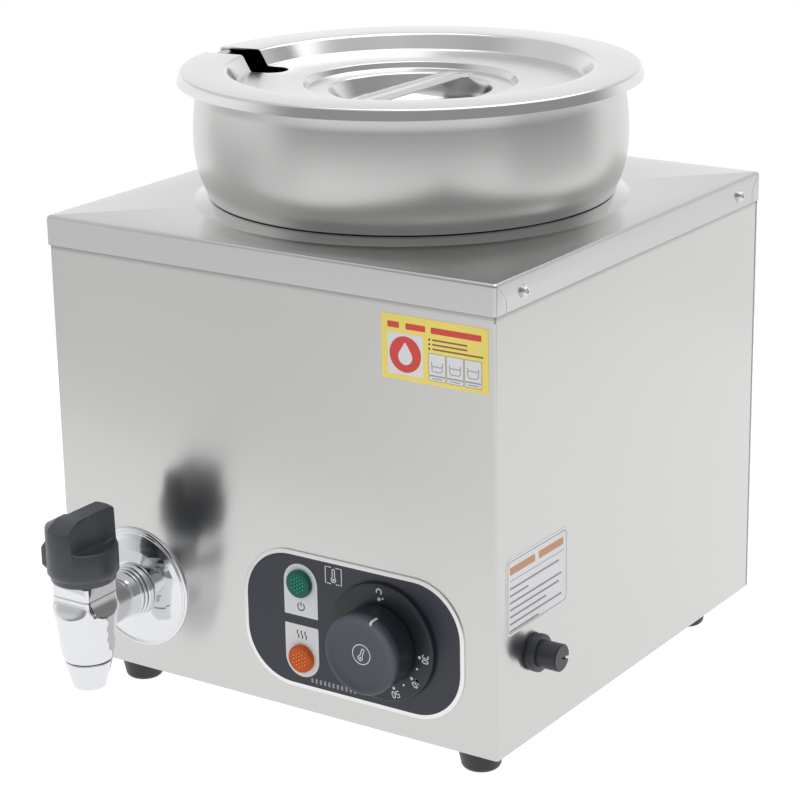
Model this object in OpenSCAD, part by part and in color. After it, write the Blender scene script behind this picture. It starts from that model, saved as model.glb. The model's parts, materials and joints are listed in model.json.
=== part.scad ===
// Counter-top soup kettle: a square heated water bath on rubber feet, a round lift-out pot with
// a notched lid, a drain tap on the left of the front and a thermostat panel on its right.
// Built with the front facing -Y. The origin is the middle of the overall box, at the feet.

/* [Cabinet] */
// Width over the top tray
body_w = 280; // [270:1:340]
// Depth over the top tray
body_d = 280; // [270:1:340]
// Height from the bottom edge to the top of the tray
body_h = 247.5; // [225:0.5:310]
// Sheet thickness of cabinet, bath, pot and lid
sheet = 0.8; // [0.6:0.1:1.2]
// Depth of the tray's folded apron
apron_h = 16; // [12:1:24]
// Width of the corner tabs that the front and back aprons fold onto the sides
tab_w = 9.5; // [7:0.5:12]
// Width of the cabinet's return flanges and of the base plate's upturned edge
flange_w = 14; // [10:1:18]
// Height of the relief slot below the apron at each front corner
relief_h = 3.5; // [2:0.5:6]
// Centre of each tray screw from the front or back face
tray_screw_in = 25.5; // [18:0.5:40]

/* [Feet] */
// Diameter of a rubber foot where it meets the base
foot_d = 25; // [20:1:30]
// Diameter of a rubber foot near the ground
foot_tip_d = 21; // [16:1:24]
// Height of a foot
foot_h = 14; // [10:1:25]
// Left feet, from the left face to the centre
foot_left = 38; // [25:1:60]
// Right feet, from the right face to the centre
foot_right = 21; // [18:1:60]
// Front feet, from the front face to the centre
foot_front = 17.5; // [17:0.5:60]
// Back feet, from the back face to the centre
foot_back = 39.5; // [25:0.5:60]

/* [Water bath] */
// Height of the tank's floor above the bottom edge
bath_floor = 38; // [36:0.5:40]
// Gap between the pot and the mouth in the tray
mouth_gap = 2.5; // [1:0.1:5]
// How much wider the round tank is than the mouth, all round
bath_gap = 3.5; // [2:0.1:6]
// Width of the raised collar round the mouth
collar_w = 11; // [8:0.5:14]
// Height of the collar above the tray
collar_rise = 3; // [2:0.5:5]
// Width of the tank's flange under the tray
bath_flange = 12; // [9:1:14]
// Radius of the heater loop
heater_r = 72; // [50:1:78]
// Diameter of the heater tube
heater_d = 7; // [5:0.5:9]
// Height of the heater loop above the tank floor
heater_up = 18; // [12:1:24]

/* [Pot] */
// Radius of the pot's belly
pot_r = 116.9; // [97:0.1:119]
// How much narrower the pot is below the shoulder that rests on the collar
pot_neck = 12.4; // [12:0.1:16]
// Height of the pot from that shoulder to the rim
pot_upper_h = 66.1; // [50:0.1:90]
// Depth of the pot below the shoulder
pot_lower_h = 160; // [120:1:170]
// Radius of the rolled rim's section
rim_roll = 3; // [2.5:0.1:3.5]
// Gap left between a lift-off piece and its seat
rest_gap = 0.3; // [0.2:0.1:0.5]

/* [Lid] */
// How far the lid's skirt reaches past the pot's belly
lid_over = 8; // [7:0.1:12]
// How far the skirt flares out from the top edge
lid_flare = 1.1; // [0:0.1:2]
// Height of the skirt
lid_skirt = 5.7; // [4:0.1:8]
// Width of the lid's flat border round its well
lid_border = 26.4; // [20:0.1:30]
// Depth of the well
lid_well_h = 9; // [6:0.5:10]
// Radius of the stepped ring round the grip dish
lid_ring_r = 57; // [50:1:62]
// Depth of the step inside that ring
lid_step_h = 3.6; // [2:0.1:5]
// Radius of the grip dish under the handle
lid_dish_r = 44; // [38:1:46]
// Depth of the grip dish below the step
lid_dish_h = 14; // [10:1:18]
// Width of the ladle notch
notch_w = 19; // [14:1:24]
// How far the notch reaches into the well
notch_reach = 22.5; // [0:0.5:30]
// Direction of the notch, anticlockwise from the right
notch_dir = 187; // [0:1:359]
// Width of the strap handle
strap_w = 18; // [14:1:24]
// Thickness of the strap handle
strap_t = 1.2; // [1:0.1:2]

/* [Tap] */
// Centre of the tap from the left face
tap_x = 51; // [45:1:62]
// Height of the tap's barrel above the bottom edge
tap_z = 47; // [46.5:0.5:48]
// Distance from the tray's front to the spout's axis
tap_out = 43.5; // [38:0.5:60]
// Radius of the chrome cover plate
rosette_r = 33.7; // [28:0.1:36]
// Radius of the tap's barrel
barrel_r = 12.6; // [11.5:0.1:15.2]
// Radius of the threaded tail
tail_r = 10; // [9:0.1:10.5]
// Radius of the waterway
water_r = 5.5; // [4:0.5:6]
// Radius of the valve plug
plug_r = 8.5; // [7.5:0.5:9]
// Radius of the tap's knob
tap_knob_r = 19; // [16:0.5:21]
// Height of the tap's knob
tap_knob_h = 37; // [30:0.5:42]
// Thickness of the knob's wing
wing_w = 14.5; // [10:0.5:18]

/* [Controls] */
// Centre of the control plate from the right face
plate_in = 88; // [84:1:100]
// Height of the centre of the control plate above the bottom edge
plate_z = 50.9; // [45:0.1:90]
// Width of the control plate
plate_w = 136.7; // [128:0.1:140]
// Height of the control plate
plate_h = 76.4; // [72:0.1:90]
// Corner radius of the control plate
plate_r = 30; // [10:1:35]
// Thickness of the control plate
plate_t = 1; // [0.8:0.1:1.5]
// Centre of the dial from the right face
dial_in = 68; // [64:1:72]
// Radius of the scale ring
bezel_r = 31.8; // [28:0.1:34]
// Thickness of the scale ring
bezel_t = 3.5; // [3:0.1:5]
// Radius of the dial knob
dial_r = 21.5; // [20:0.1:26]
// Distance from the tray's front to the dial knob's face
dial_out = 21.8; // [18:0.1:28]
// Radius of the thermostat's shaft
shaft_r = 3; // [2.5:0.1:3.5]
// Centre of the lamps from the right face
lamp_in = 119.5; // [118:0.5:122]
// Height from the upper lamp to the lower one
lamp_pitch = 41.9; // [38:0.1:46]
// Radius of a lamp's lens
lamp_r = 7.6; // [6.8:0.1:8.5]
// How far a lamp's lens stands out of the plate
lamp_out = 3.6; // [2.5:0.1:6]
// Centre of the reset button from the front face
reset_in = 36.5; // [30:0.5:60]
// Height of the reset button above the bottom edge
reset_z = 47; // [35:0.5:70]
// Radius of the reset button's nut
reset_nut_r = 9.9; // [8.5:0.1:12]
// Radius of the reset button's cap
reset_cap_r = 7.2; // [6.8:0.1:8]
// Distance from the tray's right side to the end of the cap
reset_out = 15.5; // [13:0.5:20]

/* [Cable gland] */
// Centre of the gland from the right face
gland_in = 60; // [40:1:120]
// Height of the gland above the bottom edge
gland_z = 28; // [22:1:60]
// Radius of the cord hole
gland_hole_r = 4; // [3:0.1:5]
// Distance from the tray's back to the gland's end
gland_out = 18; // [12:1:25]

/* [Labels] */
// Thickness of a sticker
label_t = 0.2; // [0.1:0.05:0.3]
// Size of the front label
front_label = [61.5, 33]; // [20:0.5:62]
// Size of the side label
side_label = [60, 41]; // [20:0.5:60]

/* [Hidden] */
$fn = 64;
eps = 0.05;

// Colours
steel = [0.78, 0.78, 0.77];
chrome = [0.87, 0.88, 0.9];
black = [0.13, 0.14, 0.16];
rubber = [0.09, 0.09, 0.1];

// Cabinet planes: the walls stand inside the tray's aprons
fold_gap = 0.1;
wall_in = sheet + fold_gap;
wall_front = wall_in;
wall_right = body_w - wall_in;
wall_back = body_d - wall_in;
wall_top = body_h - sheet - fold_gap;
wall_inner = wall_in + sheet;
seam_w = 0.4;
centre = [body_w / 2, body_d / 2];

// Radii that follow the pot's
pot_low_r = pot_r - pot_neck;
collar_r = pot_low_r + mouth_gap;
collar_foot_r = collar_r + collar_w;
bath_r = collar_r + bath_gap;
lid_r = pot_r + lid_over;
lid_well_r = lid_r - lid_border;
notch_in = lid_well_r - notch_reach;

// Overall box, for the origin
screw_washer_t = 0.65;
screw_head_h = 1.7;
tray_screw_h = screw_washer_t + screw_head_h;
screw_hole_r = 1.7;
tray_screw_z = body_h - 9;
knob_fin = 2.8;
fin_w = 2;
fin_turn = 28;
box_front = -tap_out - tap_knob_r;
box_back = body_d + gland_out;
box_right = body_w + reset_out;
origin = [(box_right - tray_screw_h) / 2, (box_front + box_back) / 2, -foot_h];

// Heights of what stands on the collar
step_z = body_h + collar_rise + rest_gap;
rim_z = step_z + pot_upper_h;
lid_z = rim_z + rest_gap + sheet;
pot_floor_z = step_z - pot_lower_h;
well_z = lid_z - lid_well_h;
shelf_z = well_z - lid_step_h;

// Tap
tap_y = -tap_out;
rosette_t = 5;
washer_t = 1.5;
rosette_back = wall_front;
rosette_face = rosette_back - rosette_t;
tail_end = 28;
hose_start = 13;
thread_end = 10;
spigot_r = 8;
hose_t = 3;
stub_start = 48;
hose_end = 60;
nozzle_top = tap_z - 25.5;
nozzle_bottom = tap_z - 41.4;
chamber_top = tap_z + 12;
bonnet_h = 7;
bonnet_side = 24.5;
bonnet_seat = bonnet_side + 5;
stem_r = 4;
run_gap = 0.05;
stem_top = chamber_top + bonnet_h + 22;
knob_z = chamber_top + bonnet_h + 0.5;

// Heater legs and the sensor bulbs under the tank floor
leg_angle = 12;
bush_r = 5;
bulb_r = 3;
bulb_x = [20, 44];
bulb_len = 70;
bulb_z = bath_floor - sheet - bulb_r - 1.2;

// Controls
plate_x = body_w - plate_in;
plate_face = wall_front - plate_t;
dial_x = body_w - dial_in;
bezel_face = plate_face - bezel_t;
lamp_x = body_w - lamp_in;
knob_skin = 5;
shaft_gap = 0.2;
knob_bore_end = knob_skin - dial_out;
stat_pitch = 28;
stat_side = 38;
stat_front = wall_inner + 0.1;
stat_back = 34;
stat_screw_r = 2;
lamp_neck_r = 6.3;
neck_r = 4.8;
screw_gap = 0.2;
reset_face = wall_right + 4.9;
reset_neck_r = 5;

// Inside the base
block_x = body_w - gland_in - 25;
block_y = body_d - 62;
earth_spot = [body_w - gland_in - 40, body_d - 60];
gland_thread_r = 7.5;

// Middles of the stickers: from the left and the bottom, and from the front and the bottom
front_label_at = [body_w - 35.5, body_h - 39];
side_label_at = [39.5, 84];

// Profile helpers
function unit(v) = v / norm(v);
function left(a, b) = let (d = unit(b - a)) [-d[1], d[0]];
// One point of a path shifted sideways by t, mitred at the corner
function shifted(p, i, t) =
    let (last = len(p) - 1,
         a = i == 0 ? left(p[0], p[1]) : left(p[i - 1], p[i]),
         b = i == last ? left(p[last - 1], p[last]) : left(p[i], p[i + 1]))
    p[i] + t * (a + b) / (1 + a * b);
// A sheet t thick along the left of a path
function sheet_along(p, t) =
    concat(p, [for (i = [len(p) - 1:-1:0]) shifted(p, i, t)]);
function arc(c, r, from, to, n = 8) =
    [for (i = [0:n]) let (a = from + (to - from) * i / n) c + r * [cos(a), sin(a)]];
function bezier(a, b, c, d, n = 10) =
    [for (i = [0:n]) let (t = i / n, s = 1 - t)
        a * s * s * s + 3 * b * s * s * t + 3 * c * s * t * t + d * t * t * t];

// Places a piece drawn from the cabinet's front left corner into the part's own frame
module placed() {
    translate(-origin) children();
}

module at_centre() {
    translate([centre[0], centre[1], 0]) children();
}

module spun(points, fn = 96) {
    rotate_extrude($fn = fn) polygon(points);
}

// Cylinder along Y from y0 to y1
module along_y(x, z, y0, y1, r, fn = 48) {
    translate([x, y0, z]) rotate([-90, 0, 0]) cylinder(h = y1 - y0, r = r, $fn = fn);
}

// Cylinder along X from x0 to x1
module along_x(y, z, x0, x1, r, fn = 48) {
    translate([x0, y, z]) rotate([0, 90, 0]) cylinder(h = x1 - x0, r = r, $fn = fn);
}

// Tube or rod along straight legs with round corners
module run_through(points, r) {
    for (i = [0:len(points) - 2]) {
        d = points[i + 1] - points[i];
        translate(points[i])
            rotate([0, acos(d[2] / norm(d)), atan2(d[1], d[0])])
                cylinder(h = norm(d), r = r, $fn = 16);
        if (i > 0) translate(points[i]) sphere(r = r * 1.15, $fn = 16);
    }
}

module rounded_plate(size, r, t) {
    linear_extrude(t) offset(r) square([size[0] - 2 * r, size[1] - 2 * r], center = true);
}

module hex_nut(across, h, hole_r) {
    difference() {
        cylinder(h = h, r = across / 2 / cos(30), $fn = 6);
        translate([0, 0, -1]) cylinder(h = h + 2, r = hole_r);
    }
}

// Low round-headed screw, head up, its underside at z = 0
module pan_screw(head_r, head_h, shank_r, shank_h) {
    difference() {
        spun([[0, 0], [head_r, 0], [head_r, head_h * 0.4], [head_r * 0.8, head_h * 0.85],
              [head_r * 0.45, head_h], [0, head_h]], 32);
        for (a = [0, 90]) rotate([0, 0, a])
            translate([-head_r * 0.5, -head_r * 0.11, head_h * 0.55])
                cube([head_r, head_r * 0.22, head_h]);
    }
    translate([0, 0, -shank_h]) cylinder(h = shank_h + eps, r = shank_r, $fn = 24);
}

// Cabinet ------------------------------------------------------------------------------------

module body_shell() {
    side_end = wall_back - sheet;
    color(steel) placed() difference() {
        union() {
            difference() {
                translate([wall_in, wall_in, 0])
                    cube([body_w - 2 * wall_in, side_end - wall_in, wall_top]);
                translate([wall_inner, wall_inner, -1])
                    cube([body_w - 2 * wall_inner, body_d, body_h + 2]);
            }
            for (x = [wall_in, wall_right - flange_w])
                translate([x, side_end - sheet, 0]) cube([flange_w, sheet, wall_top]);
        }
        for (x = [wall_in - 1, wall_right - 0.6])
            translate([x, wall_in - 1, body_h - apron_h - relief_h])
                cube([1.6, 1 + sheet, apron_h + relief_h]);
        along_y(tap_x, tap_z, 0, 5, tail_r + screw_gap);
        panel_holes(0, 5);
        along_x(reset_in, reset_z, body_w - 5, body_w, reset_neck_r + screw_gap);
        for (y = [tray_screw_in, body_d - tray_screw_in]) {
            along_x(y, tray_screw_z, 0, 5, screw_hole_r, 24);
            along_x(y, tray_screw_z, body_w - 5, body_w, screw_hole_r, 24);
        }
        rear_screw_holes();
    }
}

// Holes for the dial and the lamps through the front wall and the control plate
module panel_holes(y0, y1) {
    along_y(dial_x, plate_z, y0, y1, neck_r + screw_gap);
    for (s = [-1, 1]) {
        along_y(dial_x + s * stat_pitch / 2, plate_z, y0, y1, stat_screw_r + screw_gap, 24);
        along_y(lamp_x, plate_z + s * lamp_pitch / 2, y0, y1, lamp_neck_r + screw_gap);
    }
}

function rear_screw_spots() =
    [for (x = [wall_in + flange_w / 2, wall_right - flange_w / 2],
          z = [24, body_h / 2, body_h - 30]) [x, z]];

module rear_screw_holes() {
    for (p = rear_screw_spots()) along_y(p[0], p[1], body_d - 5, body_d + 5, screw_hole_r, 24);
}

module rear_panel() {
    color(steel) placed() difference() {
        translate([wall_in, wall_back - sheet, 0])
            cube([body_w - 2 * wall_in, sheet, wall_top]);
        rear_screw_holes();
        along_y(body_w - gland_in, gland_z, body_d - 5, body_d + 5, gland_thread_r + screw_gap);
    }
}

module rear_screws() {
    color(chrome) placed() for (p = rear_screw_spots())
        translate([p[0], wall_back, p[1]]) rotate([-90, 0, 0]) pan_screw(3.2, 2, 1.5, 6);
}

module base_plate() {
    gap = wall_inner + fold_gap;
    back = wall_back - 2 * sheet - fold_gap;
    color(steel) placed() difference() {
        translate([gap, gap, 0]) cube([body_w - 2 * gap, back - gap, flange_w]);
        translate([gap + sheet, gap + sheet, sheet])
            cube([body_w - 2 * gap - 2 * sheet, back - gap - 2 * sheet, flange_w]);
        for (p = foot_spots()) translate([p[0], p[1], -1]) cylinder(h = 5, r = 2.7, $fn = 32);
        translate([earth_spot[0], earth_spot[1], -1]) cylinder(h = 5, r = 2.2, $fn = 32);
    }
}

function foot_spots() =
    [for (x = [foot_left, body_w - foot_right], y = [foot_front, body_d - foot_back]) [x, y]];

module rubber_feet() {
    edge = 3.5;
    tip = foot_tip_d / 2;
    color(rubber) placed() for (p = foot_spots()) translate([p[0], p[1], -foot_h])
        spun(concat([[5.2, 0]], arc([tip - edge, edge], edge, -90, 0),
                    [[foot_d / 2, foot_h - 1], [foot_d / 2, foot_h], [2.7, foot_h],
                     [2.7, 4], [5.2, 4]]), 64);
}

module foot_screws() {
    color(chrome) placed() for (p = foot_spots())
        translate([p[0], p[1], -foot_h + 4]) rotate([180, 0, 0])
            pan_screw(4.6, 3, 2.5, foot_h + 3);
}

module foot_nuts() {
    color(chrome) placed() for (p = foot_spots())
        translate([p[0], p[1], sheet]) hex_nut(8, 4, 2.5);
}

module top_tray() {
    inner = [body_w - 2 * sheet, body_d - 2 * sheet];
    color(steel) placed() difference() {
        union() {
            difference() {
                translate([0, 0, body_h - apron_h]) cube([body_w, body_d, apron_h]);
                translate([sheet, sheet, body_h - apron_h - 1])
                    cube([inner[0], inner[1], apron_h + 1 - sheet]);
                at_centre() cylinder(h = body_h + 10, r = collar_foot_r + 1, $fn = 96);
            }
            at_centre() spun(sheet_along(concat(
                [[collar_foot_r + 3, body_h], [collar_foot_r, body_h]],
                [[collar_r + 3.2, body_h + collar_rise]],
                arc([collar_r + 1.4, body_h + collar_rise - 1.4], 1.4, 90, 180, 4),
                [[collar_r, body_h - 3]]), sheet));
        }
        for (x = [-1, body_w - sheet - eps]) for (m = [0, 1])
            translate([x, m * body_d, 0]) mirror([0, m, 0]) tab_seam(sheet + 1 + eps);
        for (y = [tray_screw_in, body_d - tray_screw_in]) {
            along_x(y, tray_screw_z, -5, 5, screw_hole_r, 24);
            along_x(y, tray_screw_z, body_w - 5, body_w + 5, screw_hole_r, 24);
        }
    }
}

// Seam between a side apron and the corner tab: a mitre from the corner, then straight down
module tab_seam(depth) {
    knee = body_h - tab_w;
    translate([0, tab_w, body_h - apron_h - 1]) cube([depth, seam_w, knee - body_h + apron_h + 1]);
    translate([depth, 0, 0]) rotate([0, -90, 0]) linear_extrude(depth)
        polygon([[body_h - sheet, sheet], [body_h - sheet - seam_w, sheet],
                 [knee, tab_w], [knee, tab_w + seam_w]]);
}

module tray_screws() {
    color(chrome) placed() for (y = [tray_screw_in, body_d - tray_screw_in]) {
        translate([body_w, y, tray_screw_z]) rotate([0, 90, 0]) washer_screw();
        translate([0, y, tray_screw_z]) rotate([0, -90, 0]) washer_screw();
    }
}

module washer_screw() {
    cylinder(h = screw_washer_t + eps, r = 3.4, $fn = 32);
    translate([0, 0, screw_washer_t]) pan_screw(2.7, screw_head_h, 1.5, 6);
}

// Water bath ---------------------------------------------------------------------------------

module water_tank() {
    outer = bath_r + sheet;
    corner = 5;
    under = bath_floor - sheet;
    shelf = body_h - 2 * sheet;
    color(steel) placed() difference() {
        union() {
            at_centre() spun(sheet_along(concat(
                [[0, under]], arc([outer - corner, under + corner], corner, -90, 0, 6),
                [[outer, shelf], [outer + bath_flange, shelf]]), sheet));
            difference() {
                along_y(tap_x, tap_z, stub_start, centre[1], spigot_r);
                at_centre() translate([0, 0, bath_floor]) cylinder(h = 60, r = bath_r, $fn = 96);
            }
            for (x = bulb_x, y = [-20, 20]) sensor_clip(x, y);
        }
        difference() {
            along_y(tap_x, tap_z, stub_start - 1, centre[1], water_r + 1);
            at_centre() translate([0, 0, bath_floor]) cylinder(h = 60, r = bath_r - 1, $fn = 96);
        }
        for (s = [-1, 1]) at_centre()
            rotate([0, 0, 90 + s * leg_angle]) translate([heater_r, 0, 0])
                cylinder(h = bath_floor + 5, r = bush_r + screw_gap, $fn = 32);
    }
}

// Bracket welded under the tank floor that holds a sensor bulb
module sensor_clip(x, y) {
    difference() {
        at_centre() translate([x - 5, y - 4, bulb_z - bulb_r - 1.2])
            cube([10, 8, bath_floor - bulb_z + bulb_r + 1.2 - sheet / 2]);
        at_centre() translate([x, y - 5, bulb_z]) rotate([-90, 0, 0])
            cylinder(h = 10, r = bulb_r + run_gap, $fn = 32);
    }
}

module heating_element() {
    z = bath_floor + heater_up;
    tube = heater_d / 2;
    color([0.55, 0.53, 0.5]) placed() at_centre() {
        difference() {
            rotate_extrude($fn = 96) translate([heater_r, z]) circle(r = tube, $fn = 32);
            linear_extrude(z + 20) polygon([[0, 0], 2 * heater_r * [sin(leg_angle), cos(leg_angle)],
                                            2 * heater_r * [-sin(leg_angle), cos(leg_angle)]]);
        }
        for (s = [-1, 1]) rotate([0, 0, 90 + s * leg_angle]) translate([heater_r, 0, 0]) {
            translate([0, 0, z]) sphere(r = tube + 0.3, $fn = 32);
            translate([0, 0, 22]) cylinder(h = z - 22, r = tube, $fn = 32);
            translate([0, 0, 26]) cylinder(h = bath_floor - 26 + 1, r = bush_r, $fn = 32);
            translate([0, 0, bath_floor]) cylinder(h = 3, r = bush_r + 3, $fn = 32);
            translate([-3, -0.4, 13]) cube([6, 0.8, 10]);
        }
    }
}

module element_nuts() {
    color(chrome) placed() at_centre() for (s = [-1, 1])
        rotate([0, 0, 90 + s * leg_angle]) translate([heater_r, 0, bath_floor - sheet - 4])
            hex_nut(15, 4, bush_r);
}

module drain_hose() {
    color([0.75, 0.72, 0.68]) placed() difference() {
        along_y(tap_x, tap_z, hose_start, hose_end, spigot_r + hose_t);
        along_y(tap_x, tap_z, hose_start - 1, hose_end + 1, spigot_r);
    }
}

module hose_clips() {
    outer = spigot_r + hose_t;
    color(chrome) placed() for (y = [hose_start + 4, hose_end - 10]) difference() {
        union() {
            along_y(tap_x, tap_z, y, y + 6, outer + 0.9);
            translate([tap_x - 4, y, tap_z + outer]) cube([8, 6, 5]);
        }
        along_y(tap_x, tap_z, y - 1, y + 7, outer);
    }
}

// Tap ----------------------------------------------------------------------------------------

module tap_rosette() {
    ring = rosette_r - 1.7;
    color(chrome) placed() translate([tap_x, rosette_back, tap_z]) rotate([90, 0, 0])
        spun(concat([[barrel_r + 0.1, 0], [rosette_r - 1, 0]],
                    arc([ring, 1.7], 1.7, -50, 110, 8),
                    [[ring - 1.6, 2.3]],
                    arc([ring - 2.6, 3], 1.3, -20, 100, 6),
                    [[ring - 5, 3.4], [17.5, 4.2], [17, rosette_t], [barrel_r + 0.1, rosette_t]]));
}

module tap_washer() {
    color(rubber) placed() translate([tap_x, wall_inner, tap_z]) rotate([-90, 0, 0])
        difference() {
            cylinder(h = washer_t, r = 15);
            translate([0, 0, -1]) cylinder(h = washer_t + 2, r = tail_r);
        }
}

module tap_locknut() {
    color(chrome) placed() translate([tap_x, wall_inner + washer_t, tap_z]) rotate([-90, 0, 0])
        hex_nut(28, 6, tail_r);
}

module tap_body() {
    color(chrome) placed() difference() {
        union() {
            translate([tap_x, tap_y, 0]) spun([[0, nozzle_top], [13.1, nozzle_top],
                [14.7, nozzle_top + 6], [15.1, tap_z - 12], [16, tap_z - 4], [16.6, tap_z + 1],
                [15.6, tap_z + 6], [12.4, chamber_top - 1.5], [12, chamber_top],
                [0, chamber_top]], 64);
            along_y(tap_x, tap_z, tap_y, rosette_face + 3, barrel_r);
            along_y(tap_x, tap_z, rosette_face - 8.5, rosette_face - 5.5, barrel_r + 1.6);
            along_y(tap_x, tap_z, rosette_face - 4.9, rosette_face - 2.5, barrel_r + 2.8);
            along_y(tap_x, tap_z, rosette_face - 5.5, rosette_face - 0.1, barrel_r + 1);
            along_y(tap_x, tap_z, rosette_face, thread_end, tail_r);
            along_y(tap_x, tap_z, thread_end, tail_end, spigot_r);
        }
        translate([tap_x - bonnet_seat / 2, tap_y - bonnet_seat / 2, chamber_top])
            cube([bonnet_seat, bonnet_seat, bonnet_h]);
        along_y(tap_x, tap_z, tap_y, tail_end + 1, water_r);
        translate([tap_x, tap_y, tap_z - 14])
            cylinder(h = chamber_top - tap_z + 15, r = plug_r, $fn = 64);
        translate([tap_x, tap_y, nozzle_top - 1]) cylinder(h = 30, r = spigot_r, $fn = 64);
    }
}

module tap_bonnet() {
    corner = 2;
    color(chrome) placed() translate([tap_x, tap_y, chamber_top]) difference() {
        linear_extrude(bonnet_h) offset(corner) square(bonnet_side - 2 * corner, center = true);
        translate([0, 0, -1]) cylinder(h = bonnet_h + 2, r = stem_r + run_gap, $fn = 48);
    }
}

module tap_nozzle() {
    h = nozzle_top - nozzle_bottom;
    color(chrome) placed() translate([tap_x, tap_y, nozzle_bottom]) difference() {
        union() {
            spun(concat([[0, 0]], arc([7.2, 1.6], 1.6, -90, -10, 5),
                        [[12.6, h - 0.8], [12.2, h - 0.1], [0, h - 0.1]]), 64);
            cylinder(h = h + 6, r = spigot_r, $fn = 64);
        }
        translate([0, 0, -1]) cylinder(h = h + 8, r = water_r + 0.8, $fn = 48);
    }
}

module tap_spindle() {
    port = plug_r - run_gap;
    color([0.8, 0.7, 0.4]) placed() translate([tap_x, tap_y, 0]) difference() {
        union() {
            translate([0, 0, tap_z - 13.5]) cylinder(h = chamber_top - tap_z + 13.2, r = port);
            translate([0, 0, tap_z]) cylinder(h = stem_top - tap_z, r = stem_r, $fn = 48);
        }
        translate([0, 0, tap_z - 15]) cylinder(h = 15 + water_r, r = water_r, $fn = 48);
        along_x(0, tap_z, 0, plug_r + 1, water_r);
    }
}

// Knob with a low skirt, a waisted wing across it and a pointer fin, standing on the spindle
module tap_knob() {
    skirt = 19;
    foot = 2;
    color(black) placed() translate([tap_x, tap_y, knob_z]) {
        difference() {
            union() {
                cylinder(h = foot + eps, r = tap_knob_r - 2, $fn = 96);
                translate([0, 0, foot]) cylinder(h = skirt - foot, r = tap_knob_r, $fn = 96);
                intersection() {
                    cylinder(h = tap_knob_h, r = tap_knob_r, $fn = 96);
                    rotate([0, 0, 85]) linear_extrude(tap_knob_h) wing_outline();
                }
                rotate([90, 0, fin_turn]) translate([-tap_knob_r - knob_fin, 0, -fin_w / 2])
                    linear_extrude(fin_w) polygon([[0, foot + 6], [knob_fin, foot + 3],
                        [tap_knob_r, foot + 3], [tap_knob_r, skirt + 2],
                        [knob_fin + 4, skirt + 2], [0, skirt - 2]]);
            }
            translate([0, 0, -1]) cylinder(h = 7, r = 14, $fn = 64);
            translate([0, 0, -1])
                cylinder(h = stem_top - knob_z + 1.3, r = stem_r + eps, $fn = 48);
        }
    }
}

module wing_outline() {
    waist = wing_w * 0.78;
    curve = bezier([-tap_knob_r, wing_w / 2], [-tap_knob_r / 2, waist / 2],
                   [tap_knob_r / 2, waist / 2], [tap_knob_r, wing_w / 2]);
    polygon(concat(curve, [for (i = [len(curve) - 1:-1:0]) [curve[i][0], -curve[i][1]]]));
}

// Controls -----------------------------------------------------------------------------------

module control_plate() {
    color([0.25, 0.26, 0.28]) placed() difference() {
        translate([plate_x, wall_front, plate_z]) rotate([90, 0, 0])
            rounded_plate([plate_w, plate_h], plate_r, plate_t);
        panel_holes(-5, 5);
    }
}

module dial_bezel() {
    inner = dial_r - 2.5;
    web = 1.5;
    color(black) placed() difference() {
        translate([dial_x, plate_face, plate_z]) rotate([90, 0, 0])
            spun([[neck_r + screw_gap, 0], [bezel_r, 0], [bezel_r, bezel_t - 1.2],
                  [bezel_r - 1.2, bezel_t], [inner, bezel_t], [inner, web],
                  [neck_r + screw_gap, web]]);
        for (s = [-1, 1])
            along_y(dial_x + s * stat_pitch / 2, plate_z, -9, 5, stat_screw_r + screw_gap, 24);
    }
}

module dial_knob() {
    back = bezel_face - 0.4;
    h = back + dial_out;
    edge = 1.2;
    boss_r = 6.5;
    color(black) placed() translate([dial_x, back, plate_z]) rotate([90, 0, 0]) {
        spun(concat([[dial_r - 3, 0], [dial_r - 0.5, 0]],
                    arc([dial_r - edge, h - edge], edge, 0, 90, 5),
                    [[dial_r * 0.6, h - 1.4], [0, h - 1.4], [0, h - 4], [dial_r - 3, h - 4]]));
        difference() {
            cylinder(h = h - 3, r = boss_r, $fn = 48);
            translate([0, 0, -1]) cylinder(h = h - knob_skin + 1, r = shaft_r, $fn = 48);
        }
    }
}

module thermostat_shaft() {
    color(chrome) placed()
        along_y(dial_x, plate_z, shaft_gap + knob_bore_end, stat_back - 4, shaft_r - run_gap);
}

module thermostat() {
    side = stat_side;
    color([0.85, 0.84, 0.8]) placed() difference() {
        union() {
            translate([dial_x - side / 2, stat_front + 1, plate_z - side / 2])
                cube([side, stat_back - stat_front - 1, side]);
            translate([dial_x - side / 2, stat_front, plate_z - 8]) cube([side, 1.1, 16]);
            along_y(dial_x, plate_z, plate_face, stat_front + 2, neck_r);
            for (x = [-10, 10]) translate([dial_x + x - 3, stat_back - eps, plate_z + 10])
                cube([6, 8, 0.8]);
        }
        along_y(dial_x, plate_z, -5, stat_back - 4, shaft_r);
        for (s = [-1, 1])
            along_y(dial_x + s * stat_pitch / 2, plate_z, 0, 12, stat_screw_r, 24);
    }
}

module thermostat_screws() {
    color(chrome) placed() for (s = [-1, 1])
        translate([dial_x + s * stat_pitch / 2, plate_face - 1.5, plate_z]) rotate([90, 0, 0])
            pan_screw(3.6, 1.7, stat_screw_r, 11);
}

// Bulb under the tank floor, and its thin tube to the underside of a switch
module bulb_and_tube(x, end) {
    low = bulb_z - 6;
    start = [centre[0] + x, centre[1] - bulb_len / 2, bulb_z];
    translate(start) rotate([-90, 0, 0]) cylinder(h = bulb_len, r = bulb_r, $fn = 32);
    run_through([start + [0, 1, 0], start + [0, -6, 0], [start[0], start[1] - 6, low],
                 [end[0], end[1], low], end], 0.8);
}

module sensor_bulb() {
    color([0.8, 0.5, 0.3]) placed()
        bulb_and_tube(bulb_x[0], [dial_x, stat_back - 9, plate_z - stat_side / 2 - 0.1]);
}

module limit_bulb() {
    color([0.8, 0.5, 0.3]) placed()
        bulb_and_tube(bulb_x[1], [wall_right - sheet - 12, reset_in, reset_z - 13.1]);
}

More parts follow.
